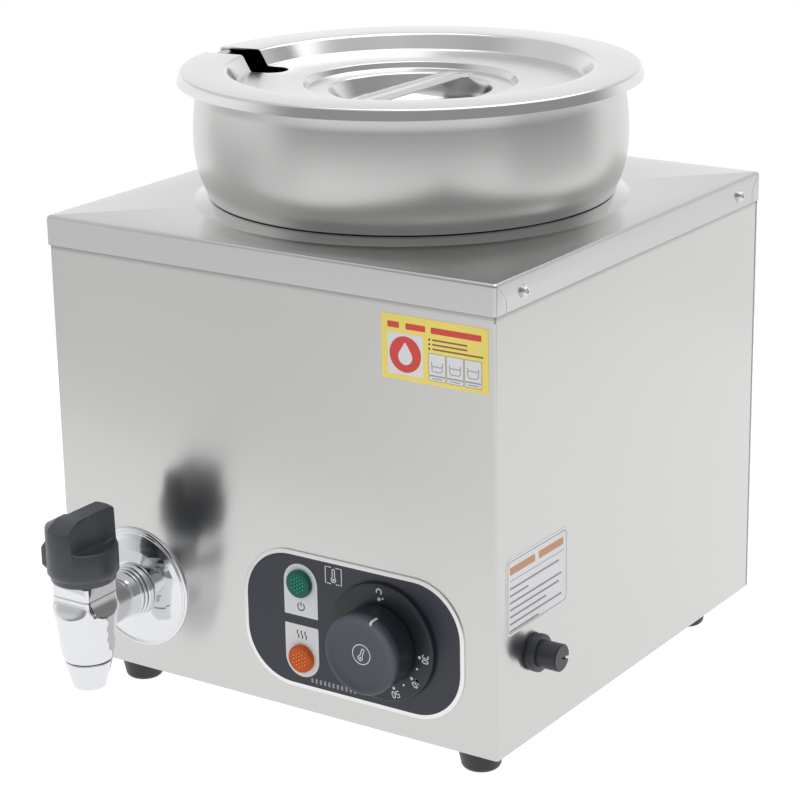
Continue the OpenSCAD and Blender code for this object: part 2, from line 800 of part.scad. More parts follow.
module lamp(z) {
    placed() translate([lamp_x, plate_face, z]) rotate([90, 0, 0]) {
        difference() {
            spun([[0, -17], [lamp_neck_r, -17], [lamp_neck_r, 0], [lamp_r, 0],
                  [lamp_r, 1.4], [lamp_r - 0.9, 2.2], [lamp_r - 1.6, lamp_out], [0, lamp_out]], 48);
            for (x = [-4:2:4]) for (y = [-4:2:4]) if (norm([x, y]) < lamp_r - 2.2)
                translate([x, y, lamp_out - 0.5]) cylinder(h = 2, r = 0.7, $fn = 16);
        }
        for (x = [-3, 3]) translate([x - 0.4, -2, -24]) cube([0.8, 4, 7.1]);
    }
}

module power_lamp() {
    color([0.02, 0.45, 0.33]) lamp(plate_z + lamp_pitch / 2);
}

module heat_lamp() {
    color([0.9, 0.4, 0.1]) lamp(plate_z - lamp_pitch / 2);
}

module lamp_nuts() {
    color([0.9, 0.9, 0.88]) placed() for (s = [-1, 1])
        translate([lamp_x, wall_inner, plate_z + s * lamp_pitch / 2]) rotate([-90, 0, 0])
            difference() {
                cylinder(h = 3, r = lamp_neck_r + 3);
                translate([0, 0, -1]) cylinder(h = 5, r = lamp_neck_r);
            }
}

module reset_switch() {
    color(black) placed() difference() {
        union() {
            translate([wall_right - sheet - 24, reset_in - 15, reset_z - 13])
                cube([24, 30, 26]);
            along_x(reset_in, reset_z, wall_right - sheet - 1, reset_face + 5, reset_neck_r);
        }
        along_x(reset_in, reset_z, wall_right - 8, reset_face + 6, 1.5 + run_gap, 32);
    }
}

module reset_nut() {
    color(black) placed() difference() {
        union() {
            along_x(reset_in, reset_z, wall_right, reset_face - 0.6, reset_nut_r, 64);
            along_x(reset_in, reset_z, reset_face - 0.65, reset_face, reset_nut_r - 0.6, 64);
        }
        along_x(reset_in, reset_z, wall_right - 1, reset_face + 1, reset_neck_r);
        for (i = [0:23]) translate([wall_right - 1, reset_in, reset_z]) rotate([i * 15, 0, 0])
            translate([0, reset_nut_r, 0]) rotate([45, 0, 0])
                cube([reset_face - wall_right + 2, 0.5, 0.5]);
    }
}

module reset_pin() {
    color([0.8, 0.15, 0.1]) placed()
        along_x(reset_in, reset_z, wall_right - 5.5, reset_face + 6.5, 1.5, 32);
}

module reset_cap() {
    end = body_w + reset_out;
    color(black) placed() difference() {
        union() {
            along_x(reset_in, reset_z, reset_face + 0.3, end - 0.5, reset_cap_r, 64);
            along_x(reset_in, reset_z, end - 0.55, end, reset_cap_r - 0.5, 64);
        }
        along_x(reset_in, reset_z, reset_face - 1, reset_face + 8, reset_neck_r + run_gap);
        translate([end - 2, reset_in, reset_z]) rotate([-15, 0, 0]) translate([0, 0, -0.9])
            cube([3, reset_cap_r + 1, 1.8]);
    }
}

// Cable gland and what is inside the base ----------------------------------------------------

module cable_gland() {
    x = body_w - gland_in;
    end = body_d + gland_out;
    color(black) placed() difference() {
        union() {
            along_y(x, gland_z, wall_back - sheet - 9, end - 6, gland_thread_r);
            translate([x, wall_back, gland_z]) rotate([-90, 0, 0])
                cylinder(h = 5, r = 11 / cos(30), $fn = 6);
            along_y(x, gland_z, end - 12, end - 2, 10.5);
            along_y(x, gland_z, end - 2.05, end, 8);
        }
        along_y(x, gland_z, wall_back - 12, end + 1, gland_hole_r);
    }
}

module gland_nut() {
    color(black) placed() translate([body_w - gland_in, wall_back - sheet - 5, gland_z])
        rotate([-90, 0, 0]) hex_nut(21, 5, gland_thread_r);
}

module terminal_block() {
    color([0.9, 0.88, 0.82]) placed() translate([block_x, block_y, sheet]) difference() {
        cube([36, 20, 14]);
        for (i = [0:2]) {
            translate([6 + i * 12, -1, 6]) rotate([-90, 0, 0]) cylinder(h = 22, r = 2, $fn = 24);
            translate([6 + i * 12, 10, 9]) cylinder(h = 6, r = 2.4, $fn = 24);
        }
    }
}

module earth_stud() {
    color(chrome) placed() translate([earth_spot[0], earth_spot[1], 0]) {
        cylinder(h = 14, r = 2, $fn = 24);
        translate([0, 0, sheet]) difference() {
            cylinder(h = 3.2, r = 7 / 2 / cos(30), $fn = 6);
            translate([0, 0, -1]) cylinder(h = 6, r = 1.9, $fn = 24);
        }
    }
}

module wiring() {
    wire_r = 1.1;
    z = sheet + 6;
    upper = plate_z + lamp_pitch / 2;
    lower = plate_z - lamp_pitch / 2;
    tab = plate_face + 24.1;
    back = tab + 3.5;
    leg = centre + heater_r * [sin(leg_angle), cos(leg_angle)];
    color([0.75, 0.2, 0.15]) placed() {
        run_through([[block_x + 6, block_y - 0.1, z], [block_x + 6, 60, z],
                     [lamp_x - 3, back, z], [lamp_x - 3, back, upper],
                     [lamp_x - 3, tab, upper]], wire_r);
        run_through([[block_x + 18, block_y - 0.1, z], [block_x + 18, 60, z],
                     [lamp_x + 3, back, z], [lamp_x + 3, back, lower],
                     [lamp_x + 3, tab, lower]], wire_r);
        run_through([[block_x + 30, block_y - 0.1, z], [block_x + 30, 46, z],
                     [dial_x + 10, 46, z], [dial_x + 10, 46, plate_z + 10.4],
                     [dial_x + 10, stat_back + 8.1, plate_z + 10.4]], wire_r);
        run_through([[block_x + 6, block_y + 20.1, z], [block_x + 6, block_y + 28, z],
                     [leg[0], block_y + 28, z], [leg[0], leg[1], z],
                     [leg[0], leg[1], 12.9]], wire_r);
    }
}

// Labels -------------------------------------------------------------------------------------

module warning_label() {
    color([0.93, 0.83, 0.3]) placed() translate([front_label_at[0], wall_front, front_label_at[1]])
        rotate([90, 0, 0]) rounded_plate(front_label, 1, label_t);
}

module reset_label() {
    color([0.92, 0.92, 0.94]) placed() translate([wall_right, side_label_at[0], side_label_at[1]])
        rotate([90, 0, 90]) rounded_plate(side_label, 4, label_t);
}

// Pot and lid --------------------------------------------------------------------------------

module pot() {
    corner = 16;
    roll = rim_roll - sheet;
    roll_r = pot_r + 1.3;
    neck = [pot_r - 2.3, rim_z - 9];
    color(steel) placed() at_centre() spun(sheet_along(concat(
        [[0, pot_floor_z]],
        arc([pot_low_r - corner, pot_floor_z + corner], corner, -90, 0, 8),
        arc([pot_low_r + 1.2, step_z - 1.2], 1.2, 180, 90, 3),
        arc([pot_r - 7.8, step_z + 1.8], 1.8, -90, -20, 4),
        bezier([pot_r - 5.6, step_z + 3.5], [pot_r - 0.7, step_z + 13],
               [pot_r + 2.9, step_z + 28], neck, 12),
        arc([roll_r, rim_z - rim_roll], roll, 180, -60, 12)), sheet), 128);
}

module lid() {
    top_r = lid_r - lid_flare;
    edge = 1.6;
    foot_r = lid_well_r - 5;
    dish_floor = shelf_z - lid_dish_h;
    color(steel) placed() at_centre() difference() {
        spun(sheet_along(concat(
            [[lid_r, lid_z - lid_skirt]],
            arc([top_r - edge, lid_z - edge], edge, 0, 90, 5),
            arc([lid_well_r + 2, lid_z - 2], 2, 90, 160, 4),
            arc([foot_r - 1.5, well_z + 1.5], 1.5, -20, -90, 3),
            [[lid_ring_r + 1.5, well_z], [lid_ring_r - 1, shelf_z]],
            arc([lid_dish_r + 1.5, shelf_z - 1.5], 1.5, 90, 160, 3),
            arc([lid_dish_r - 12, dish_floor + 8], 8, -20, -90, 5),
            [[0, dish_floor]]), sheet), 128);
        rotate([0, 0, notch_dir]) translate([notch_in + notch_w / 2, 0, shelf_z - 5]) {
            cylinder(h = 40, r = notch_w / 2, $fn = 48);
            translate([0, -notch_w / 2, 0]) cube([lid_r, notch_w, 40]);
        }
    }
}

module lid_handle() {
    reach = lid_dish_r + 5;
    color(steel) placed() at_centre() intersection() {
        cylinder(h = 400, r = reach + 1.5, $fn = 96);
        union() {
            translate([-strap_w / 2, -reach, shelf_z]) cube([strap_w, 2 * reach, strap_t]);
            for (x = [-strap_w / 4, strap_w / 4])
                translate([x, -reach + 6, shelf_z + strap_t * 0.6]) rotate([-90, 0, 0])
                    cylinder(h = 2 * reach - 12, r = 1.3, $fn = 32);
        }
    }
}

body_shell();
rear_panel();
base_plate();
rubber_feet();
foot_screws();
foot_nuts();
top_tray();
tray_screws();
rear_screws();
water_tank();
heating_element();
element_nuts();
drain_hose();
hose_clips();
tap_rosette();
tap_washer();
tap_locknut();
tap_body();
tap_bonnet();
tap_nozzle();
tap_spindle();
tap_knob();
control_plate();
dial_bezel();
dial_knob();
thermostat_shaft();
thermostat();
thermostat_screws();
sensor_bulb();
power_lamp();
heat_lamp();
lamp_nuts();
reset_switch();
reset_nut();
reset_pin();
reset_cap();
limit_bulb();
cable_gland();
gland_nut();
terminal_block();
earth_stud();
wiring();
warning_label();
reset_label();
pot();
lid();
lid_handle();
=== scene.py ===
import json
import math

import bmesh
import bpy
from mathutils import Matrix, Vector


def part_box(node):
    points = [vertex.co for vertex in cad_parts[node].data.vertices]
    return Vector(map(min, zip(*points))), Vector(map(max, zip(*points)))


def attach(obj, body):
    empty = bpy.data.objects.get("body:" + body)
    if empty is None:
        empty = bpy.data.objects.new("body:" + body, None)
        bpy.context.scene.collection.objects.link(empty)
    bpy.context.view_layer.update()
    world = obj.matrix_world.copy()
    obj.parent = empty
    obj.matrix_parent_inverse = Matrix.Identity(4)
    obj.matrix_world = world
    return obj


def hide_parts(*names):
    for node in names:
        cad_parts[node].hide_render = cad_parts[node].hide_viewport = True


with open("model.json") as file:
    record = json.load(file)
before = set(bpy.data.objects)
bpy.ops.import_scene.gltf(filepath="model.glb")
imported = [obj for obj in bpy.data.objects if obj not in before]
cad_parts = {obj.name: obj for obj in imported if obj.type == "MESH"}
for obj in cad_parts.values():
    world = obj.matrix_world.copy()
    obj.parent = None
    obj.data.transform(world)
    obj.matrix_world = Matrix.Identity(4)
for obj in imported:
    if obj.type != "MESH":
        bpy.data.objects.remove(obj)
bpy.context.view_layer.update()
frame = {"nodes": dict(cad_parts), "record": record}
print("frame loaded")

mm = 0.001
trayLow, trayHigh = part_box("top_tray")
shellLow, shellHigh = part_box("body_shell")
right, back, up = Vector((1, 0, 0)), Vector((0, 1, 0)), Vector((0, 0, 1))
front = -back


def spot(x, y, z):  # from the tray's front left corner and the cabinet's bottom edge
    return Vector((trayLow.x + x * mm, trayLow.y + y * mm, shellLow.z + z * mm))


def middle(node):
    low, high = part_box(node)
    return (low + high) / 2


class Wire:  # an output socket that takes part in sums
    def __init__(self, nodes, socket):
        self.nodes, self.socket = nodes, socket

    def maths(self, operation, other):
        return self.nodes.add("ShaderNodeMath", {"operation": operation}, {0: self, 1: other})

    def flipped(self, operation, other):
        return self.nodes.add("ShaderNodeMath", {"operation": operation}, {0: other, 1: self})

    def __add__(self, other):
        return self.maths("ADD", other)

    def __radd__(self, other):
        return self.flipped("ADD", other)

    def __sub__(self, other):
        return self.maths("SUBTRACT", other)

    def __rsub__(self, other):
        return self.flipped("SUBTRACT", other)

    def __mul__(self, other):
        return self.maths("MULTIPLY", other)

    def __rmul__(self, other):
        return self.flipped("MULTIPLY", other)

    def sibling(self, out):  # another output of the same node
        return Wire(self.nodes, self.socket.node.outputs[out])


class Nodes:
    def __init__(self, tree):
        self.tree = tree

    def add(self, kind, settings=None, sockets=None, out=0):
        node = self.tree.nodes.new(kind)
        for key, value in (settings or {}).items():
            setattr(node, key, value)
        for key, value in (sockets or {}).items():
            self.feed(node.inputs[key], value)
        return Wire(self, node.outputs[out]) if node.outputs else None

    def feed(self, socket, value):
        if isinstance(value, Wire):
            self.tree.links.new(value.socket, socket)
        elif socket.type == "RGBA":
            socket.default_value = (*value[:3], 1)
        else:
            socket.default_value = value

    def ramp(self, value, start, end):  # smoothly from 0 to 1
        return self.add("ShaderNodeMapRange", {"interpolation_type": "SMOOTHSTEP"},
                        {0: value, 1: start, 2: end, 3: 0.0, 4: 1.0})


class Finish(Nodes):  # one principled surface
    def __init__(self, name):
        self.material = bpy.data.materials.new(name)
        self.material.use_nodes = True
        super().__init__(self.material.node_tree)
        self.tree.nodes.clear()
        shader = self.add("ShaderNodeBsdfPrincipled")
        self.add("ShaderNodeOutputMaterial", sockets={0: shader})
        self.surface = shader.socket.node

    def set(self, **values):
        for key, value in values.items():
            words = "".join(" " + letter if letter.isupper() else letter for letter in key)
            self.feed(self.surface.inputs[words.title()], value)

    def place(self):
        return self.add("ShaderNodeTexCoord", out="Object")

    def noise(self, scale, detail=2.0):
        place = self.add("ShaderNodeMapping", sockets={"Vector": self.place(), "Scale": scale})
        return self.add("ShaderNodeTexNoise", sockets={"Vector": place, "Scale": 1.0, "Detail": detail})

    def along(self, axis, start, end):  # 0 to 1 between two places on X, Y or Z
        place = self.add("ShaderNodeSeparateXYZ", sockets={0: self.place()})
        return self.ramp(place.sibling(axis), start, end)

    def mixed(self, factor, first, second):
        return self.add("ShaderNodeMix", {"data_type": "RGBA"}, {0: factor, 6: first, 7: second}, out=2)

    def bumped(self, height, depth):
        return self.add("ShaderNodeBump", sockets={"Height": height, "Distance": depth, "Strength": 1.0})


# shade and shadeDrop set how strong and how tall the painted shade under an overhang is
brushed = {"groove": 0.000012, "stain": 0.02, "streak": 0.6, "shade": 0.4, "shadeDrop": 0.0035}


def brushedSteel(name, grain, colour=(0.6, 0.6, 0.595), rough=0.3, shadeTop=None, **changes):
    f, c = Finish(name), {**brushed, **changes}
    lines = f.noise(grain, detail=3.0)
    cloud = f.noise((9, 9, 9), detail=3.0)
    shade = 1 - c["stain"] + c["stain"] * 2 * lines
    if shadeTop:  # painted shade, darker just under an overhanging edge
        shade = shade * (1 - c["shade"] * f.along(2, shadeTop - c["shadeDrop"], shadeTop))
    tone = f.add("ShaderNodeVectorMath", {"operation": "SCALE"}, {0: colour, "Scale": shade})
    f.set(baseColor=tone, metallic=1.0, roughness=rough - 0.03 + 0.06 * cloud,
          normal=f.bumped(lines, c["groove"]))
    f.set(anisotropic=c["streak"], anisotropicRotation=0.25)  # streaks run up the walls
    return f.material


def polishedSteel(name, colour, rough, wave):
    f = Finish(name)
    cloud = f.noise((14, 14, 14), detail=3.0)
    f.set(baseColor=colour, metallic=1.0, roughness=rough + rough * 0.4 * cloud,
          normal=f.bumped(cloud, wave))
    return f.material


def moulded(name, colour, rough, coarse=900, depth=0.00002, dark=None):
    f = Finish(name)
    grit = f.noise((coarse, coarse, coarse), detail=2.0)
    cloud = f.noise((20, 20, 20), detail=2.0)
    tone = f.mixed(cloud, tuple(0.9 * c for c in colour), tuple(1.1 * c for c in colour))
    if dark:  # painted shade: places along Y between which the colour deepens
        tone = f.mixed(f.along(1, *dark), tone, tuple(0.35 * c for c in colour))
    f.set(baseColor=tone, roughness=rough - 0.04 + 0.08 * cloud, normal=f.bumped(grit, depth))
    return f.material


def ink(name, colour, rough=0.45):
    return moulded(name, colour, rough, depth=0.000004)


def clearLens(name, deep, bright, glow, depths):  # painted shade in the hollows and down the side, painted highlight towards the raised top; the faint glow has the same colours
    f = Finish(name)
    cells = f.add("ShaderNodeTexVoronoi", sockets={"Vector": f.place(), "Scale": 900.0}, out="Distance")
    tone = f.mixed((1 - f.along(1, *depths)) * (1 - 0.3 * cells), deep, bright)
    f.set(baseColor=tone, roughness=0.14 + 0.05 * cells, emissionColor=tone)
    f.set(emissionStrength=glow)
    f.surface.inputs["Specular IOR Level"].default_value = 0.3
    return f.material


upright, level, spun = (6, 6, 1700), (5, 1500, 1500), (4, 4, 1400)  # how fine the grain is on X, Y and Z
# trayLow.z paints shade on the cabinet walls just under the tray's apron
frontSteel = brushedSteel("front steel", upright, (0.6, 0.596, 0.588), 0.2, trayLow.z, streak=0.75)
sideSteel = brushedSteel("side steel", upright, (0.61, 0.61, 0.608), 0.3, trayLow.z)
traySteel = brushedSteel("tray steel", level, rough=0.2, groove=0.000006, streak=0.3)
potSteel = brushedSteel("pot steel", spun, (0.61, 0.605, 0.6), 0.29, groove=0.000006)
lidSteel = polishedSteel("lid steel", (0.69, 0.69, 0.69), 0.15, 0.00004)
chrome = polishedSteel("chrome", (0.74, 0.748, 0.768), 0.05, 0.00001)
screwSteel = polishedSteel("screw steel", (0.7, 0.7, 0.7), 0.2, 0.00002)
blackPlastic = moulded("black plastic", (0.037, 0.041, 0.05), 0.38)
knobPlastic = moulded("knob plastic", (0.055, 0.06, 0.072), 0.36)
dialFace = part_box("dial_knob")[0].y
# painted shade: the dial knob's side, from 2.2 to 5 mm behind its face, deepens to 0.35 of its colour
dialPlastic = moulded("dial plastic", (0.055, 0.063, 0.085), 0.4, dark=(dialFace + 0.0022, dialFace + 0.005))
finPlastic = moulded("fin plastic", (0.1, 0.105, 0.115), 0.25)
bezelPlastic = moulded("bezel plastic", (0.014, 0.017, 0.024), 0.42)
platePrint = moulded("plate print", (0.02, 0.025, 0.038), 0.35, coarse=500, depth=0.00001)
paleEdge = polishedSteel("pale edge", (0.8, 0.8, 0.8), 0.28, 0.00001)
footRubber = moulded("foot rubber", (0.016, 0.018, 0.023), 0.42)
paleInk = ink("pale ink", (0.74, 0.75, 0.76))
darkInk = ink("dark ink", (0.05, 0.05, 0.06), 0.5)
yellowFilm = ink("yellow film", (0.94, 0.78, 0.17), 0.4)
whiteFilm = ink("white film", (0.8, 0.805, 0.83), 0.4)
greyInk = ink("grey ink", (0.3, 0.3, 0.33))
redInk = ink("red ink", (0.72, 0.06, 0.05), 0.4)
rustInk = ink("rust ink", (0.28, 0.13, 0.09))
copperInk = ink("copper ink", (0.6, 0.3, 0.16))
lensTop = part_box("power_lamp")[0].y
# between these depths the lens colour goes from a painted highlight at the front to painted shade towards the
# plate
lensDepths = (lensTop + 0.0002, lensTop + 0.0006)
greenLens = clearLens("green lens", (0.0, 0.095, 0.065), (0.01, 0.42, 0.28), 0.1, lensDepths)
amberLens = clearLens("amber lens", (0.42, 0.065, 0.004), (0.9, 0.26, 0.03), 0.22, lensDepths)
finishOfSlot = {
    "stainless_brushed": sideSteel, "stainless_plain": sideSteel, "stainless_pot": potSteel,
    "stainless_polished": lidSteel, "tap_chrome": chrome, "plated_steel": screwSteel,
    "brass": polishedSteel("brass", (0.75, 0.55, 0.25), 0.25, 0.00002),
    "heater_sheath": polishedSteel("heater sheath", (0.3, 0.27, 0.24), 0.4, 0.00003),
    "copper_tube": polishedSteel("copper tube", (0.75, 0.42, 0.28), 0.3, 0.00002),
    "black_plastic": blackPlastic, "plate_grey": platePrint,
    "pale_plastic": moulded("pale plastic", (0.72, 0.7, 0.63), 0.5),
    "red_plastic": moulded("red plastic", (0.55, 0.04, 0.03), 0.35),
    "green_lens": greenLens, "amber_lens": amberLens, "foot_rubber": footRubber,
    "hose_rubber": moulded("hose rubber", (0.55, 0.5, 0.44), 0.5),
    "wire_sleeve": moulded("wire sleeve", (0.4, 0.05, 0.04), 0.45),
    "yellow_label": yellowFilm, "white_label": whiteFilm,
}
slotOfNode = {part["node"]: part["material_slot"] for part in frame["record"]["subparts"]}
for nodeName, node in frame["nodes"].items():
    node.data.materials.clear()
    node.data.materials.append(finishOfSlot[slotOfNode[nodeName]])
print("finishes")


def arc(centre, radius, start, end, steps=8):
    sweep = [math.radians(start + (end - start) * i / steps) for i in range(steps + 1)]
    return [(centre[0] + radius * math.cos(a), centre[1] + radius * math.sin(a)) for a in sweep]


def eased(points, radius, closed=True, steps=5):  # rounds the corners of an outline
    out, count = [], len(points)
    for i, point in enumerate(points):
        wanted = radius[i] if isinstance(radius, (list, tuple)) else radius
        here = Vector(point[:2])
        toBefore = Vector(points[i - 1][:2]) - here
        toAfter = Vector(points[(i + 1) % count][:2]) - here
        atEnd = not closed and i in (0, count - 1)
        if wanted <= 0 or atEnd or toBefore.length * toAfter.length < 1e-9:
            out.append(tuple(here))
            continue
        angle = toBefore.angle(toAfter)
        if angle > math.pi - 0.02:
            out.append(tuple(here))
            continue
        reach = min(wanted / math.tan(angle / 2), 0.49 * toBefore.length, 0.49 * toAfter.length)
        bow = reach * math.tan(angle / 2)
        hub = here + (toBefore.normalized() + toAfter.normalized()).normalized() * (bow / math.sin(angle / 2))
        first = here + toBefore.normalized() * reach - hub
        last = here + toAfter.normalized() * reach - hub
        turn = first.angle(last)
        for k in range(steps + 1):
            t = k / steps
            swing = (first * math.sin((1 - t) * turn) + last * math.sin(t * turn)) / math.sin(turn)
            out.append(tuple(hub + swing))
    return out


def sheetOutline(path, thick):  # a sheet along the left of a path
    points = [Vector(p) for p in path]
    inner = []
    for i, point in enumerate(points):
        ahead = (points[min(i + 1, len(points) - 1)] - point)
        behind = (point - points[max(i - 1, 0)])
        ahead = ahead.normalized() if ahead.length else behind.normalized()
        behind = behind.normalized() if behind.length else ahead
        a, b = Vector((-behind.y, behind.x)), Vector((-ahead.y, ahead.x))
        inner.append(tuple(point + (a + b) * thick / (1 + a.dot(b))))
    return [tuple(p) for p in points] + inner[::-1]


def newPiece(name, bm, finish, body, stands=(), sharp=32):
    bmesh.ops.remove_doubles(bm, verts=bm.verts, dist=1e-7)
    bmesh.ops.recalc_face_normals(bm, faces=bm.faces)
    mesh = bpy.data.meshes.new(name)
    bm.to_mesh(mesh)
    bm.free()
    mesh.polygons.foreach_set("use_smooth", [True] * len(mesh.polygons))
    mesh.set_sharp_from_angle(angle=math.radians(sharp))
    piece = bpy.data.objects.new(name, mesh)
    bpy.context.scene.collection.objects.link(piece)
    mesh.materials.append(finish)
    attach(piece, body)
    if stands:
        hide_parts(*stands)
    return piece


def skinned(bm, rows, closed=True):  # quads between rows of points
    for first, second in zip(rows, rows[1:]):
        for k in range(len(first) if closed else len(first) - 1):
            j = (k + 1) % len(first)
            bm.faces.new((first[k], first[j], second[j], second[k]))


def aroundCircle(radius, steps):
    return [(radius * math.cos(2 * math.pi * k / steps), radius * math.sin(2 * math.pi * k / steps))
            for k in range(steps)]


def turned(bm, outline, centre, axis=up, steps=96):  # outline is (radius, distance along the axis)
    helper = back if abs(axis.dot(back)) < 0.9 else right
    side = helper.cross(axis).normalized()
    other = axis.cross(side)
    rings = []
    for radius, along in outline:
        hub = centre + axis * along * mm
        if radius < 1e-6:
            rings.append([bm.verts.new(hub)])
            continue
        places = aroundCircle(radius, steps)
        rings.append([bm.verts.new(hub + (side * u + other * v) * mm) for u, v in places])
    for low, high in zip(rings, rings[1:] + rings[:1]):
        if len(low) == 1 and len(high) == 1:
            continue
        for i in range(steps):
            j = (i + 1) % steps
            if len(low) == 1:
                bm.faces.new((low[0], high[i], high[j]))
            elif len(high) == 1:
                bm.faces.new((low[i], low[j], high[0]))
            else:
                bm.faces.new((low[i], low[j], high[j], high[i]))
    return bm


def prism(bm, outline, origin, across, upward, depth, edge=0.0, rounds=3):
    # outline in millimetres on the plane (across, upward), raised along their cross product
    out = across.cross(upward)
    floor = [bm.verts.new(origin + across * u * mm + upward * v * mm) for u, v in outline]
    base = bm.faces.new(floor)
    raised = bmesh.ops.extrude_face_region(bm, geom=[base])
    top = [g for g in raised["geom"] if isinstance(g, bmesh.types.BMVert)]
    bmesh.ops.translate(bm, verts=top, vec=out * depth * mm)
    if edge:
        rim = {e for v in top for e in v.link_edges if e.other_vert(v) in set(top)}
        bmesh.ops.bevel(bm, geom=list(rim), offset=edge * mm, segments=rounds, profile=0.5,
                        affect="EDGES", clamp_overlap=True)
    return bm


def roundedBox(width, height, radius, steps=10):
    w, h = width / 2 - radius, height / 2 - radius
    return [p for centre, start in (((w, h), 0), ((-w, h), 90), ((-w, -h), 180), ((w, -h), 270))
            for p in arc(centre, radius, start, start + 90, steps)]


def stroke(bm, points, width, origin, across, upward, depth):  # a drawn line of even width
    path = [Vector(p) for p in points]
    leftSide, rightSide = [], []
    for i, point in enumerate(path):
        ahead = path[min(i + 1, len(path) - 1)] - path[max(i - 1, 0)]
        side = Vector((-ahead.y, ahead.x)).normalized() * width / 2
        leftSide.append(tuple(point + side))
        rightSide.append(tuple(point - side))
    return prism(bm, leftSide + rightSide[::-1], origin, across, upward, depth)


def carved(piece, cutter, operation="DIFFERENCE"):
    tool = bpy.data.meshes.new("tool")
    bmesh.ops.recalc_face_normals(cutter, faces=cutter.faces)
    cutter.to_mesh(tool)
    cutter.free()
    helper = bpy.data.objects.new("tool", tool)
    bpy.context.scene.collection.objects.link(helper)
    cut = piece.modifiers.new("cut", "BOOLEAN")
    cut.operation, cut.object, cut.solver = operation, helper, "EXACT"
    settle(piece)
    bpy.data.objects.remove(helper)
    bpy.data.meshes.remove(tool)
    return piece


def settle(piece, sharp=32):  # applies a piece's modifiers
    bpy.context.view_layer.update()
    graph = bpy.context.evaluated_depsgraph_get()
    mesh = bpy.data.meshes.new_from_object(piece.evaluated_get(graph))
    piece.modifiers.clear()
    piece.data = mesh
    mesh.polygons.foreach_set("use_smooth", [True] * len(mesh.polygons))
    mesh.set_sharp_from_angle(angle=math.radians(sharp))
    return piece


cabinet = {"sheet": 0.8, "bend": 1.4, "apron": 16, "tab": 9.5, "seam": 0.35, "relief": 3.5,
           "trayBend": 1.8, "inset": 0.9, "lip": 14, "collarFoot": 118, "collarTop": 110.2,
           "collarMouth": 107, "collarRise": 3}
traySize = (trayHigh - trayLow) / mm
wallTop = (shellHigh.z - shellLow.z) / mm
trayTop = wallTop + cabinet["inset"]
width, depth = traySize.x, traySize.y


def makeShell():
    c = cabinet
    inset, bend, lip = c["inset"], c["bend"], c["lip"]
    rear = depth - inset - c["sheet"]
    path = [(width - inset - lip, rear), (width - inset, rear), (width - inset, inset),
            (inset, inset), (inset, rear), (inset + lip, rear)]
    plan = sheetOutline(eased(path, bend, closed=False), -c["sheet"])
    bm = prism(bmesh.new(), plan, spot(0, 0, 0), right, back, wallTop)
    shell = newPiece("cabinetShell", bm, frontSteel, "cabinet", ["body_shell"])
    cutter = bmesh.new()  # relief slots at the two front corners
    slotLow = trayTop - c["apron"] - c["relief"]
    for x in (inset - 1, width - inset - 0.8):
        corner = [(x, inset - 1), (x + 1.8, inset - 1), (x + 1.8, inset + 0.9), (x, inset + 0.9)]
        prism(cutter, corner, spot(0, 0, slotLow), right, back, c["relief"] + c["apron"] + 5)
    carved(shell, cutter)


def makeTray():
    c = cabinet
    bend, low, sheet = c["trayBend"], trayTop - c["apron"], c["sheet"]
    centre = Vector((width / 2, depth / 2))

    def square(inset, radius):  # the plan of the folded box at a given inset
        points = roundedBox(width - 2 * inset, depth - 2 * inset, max(radius, 0.05), 16)
        return [(centre.x + u, centre.y + v) for u, v in points]

    bm = bmesh.new()
    levels = [(c["sheet"], low), (0.0, low), (0.0, trayTop - bend)]
    levels += [(bend * (1 - math.cos(math.radians(a))), trayTop - bend + bend * math.sin(math.radians(a)))
               for a in (15, 30, 45, 60, 75, 90)]
    loops = [[bm.verts.new(spot(x, y, z)) for x, y in square(inset, 1.6 - inset * 0.5)]
             for inset, z in levels]
    under = [bm.verts.new(spot(x, y, trayTop - sheet)) for x, y in square(sheet, 1.0)]
    skinned(bm, [under] + loops)
    foot, mouth, top = c["collarFoot"], c["collarMouth"], trayTop + c["collarRise"]
    collar = [(foot + 3, trayTop)] + eased(
        [(foot + 2.5, trayTop), (foot, trayTop), (c["collarTop"], top), (mouth, top), (mouth, trayTop - 3)],
        [0, 6, 2.2, 1.3, 0], closed=False, steps=6)
    rings = [[bm.verts.new(spot(centre.x + u, centre.y + v, z)) for u, v in aroundCircle(radius, 160)]
             for radius, z in sheetOutline(collar, sheet)]
    skinned(bm, rings)
    for ring, loop in ((rings[0], loops[-1]), (rings[-1], under)):
        edges = [bm.edges.get((r[i], r[(i + 1) % len(r)])) for r in (ring, loop) for i in range(len(r))]
        bmesh.ops.triangle_fill(bm, edges=edges, use_beauty=True)
    tray = newPiece("topTray", bm, traySteel, "cabinet", ["top_tray"], sharp=40)
    cutter = bmesh.new()  # seams of the folded corner tabs
    knee = trayTop - c["tab"]
    seam = [(0, trayTop + 1), (c["tab"], knee), (c["tab"], low - 1)]
    for x in (-0.2, width - 0.25):
        for end in (0, depth):
            line = [(abs(end - y), z) for y, z in seam]
            stroke(cutter, line, c["seam"], spot(x, 0, 0), back, up, 0.45)
    carved(tray, cutter)


makeShell()
makeTray()
print("cabinet")


potLow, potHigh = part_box("pot")
potCentre = Vector(((potLow.x + potHigh.x) / 2, (potLow.y + potHigh.y) / 2, potLow.z))
pot = {"belly": 116.9, "lower": 104.5, "corner": 16, "step": 160, "roll": 3, "sheet": 0.8}
lid = {"skirt": 5.7, "flare": 1.1, "well": 98.5, "wellDepth": 9, "ring": 57, "step": 3.6, "dish": 44,
       "dishDepth": 14, "sheet": 0.8, "notchWidth": 19, "notchIn": 76, "notchTurn": 187}


def bezier(a, b, c, d, steps=14):
    points = []
    for i in range(steps + 1):
        t = i / steps
        s = 1 - t
        weights = (s ** 3, 3 * s * s * t, 3 * s * t * t, t ** 3)
        points.append(tuple(sum(w * p[k] for w, p in zip(weights, (a, b, c, d))) for k in (0, 1)))
    return points


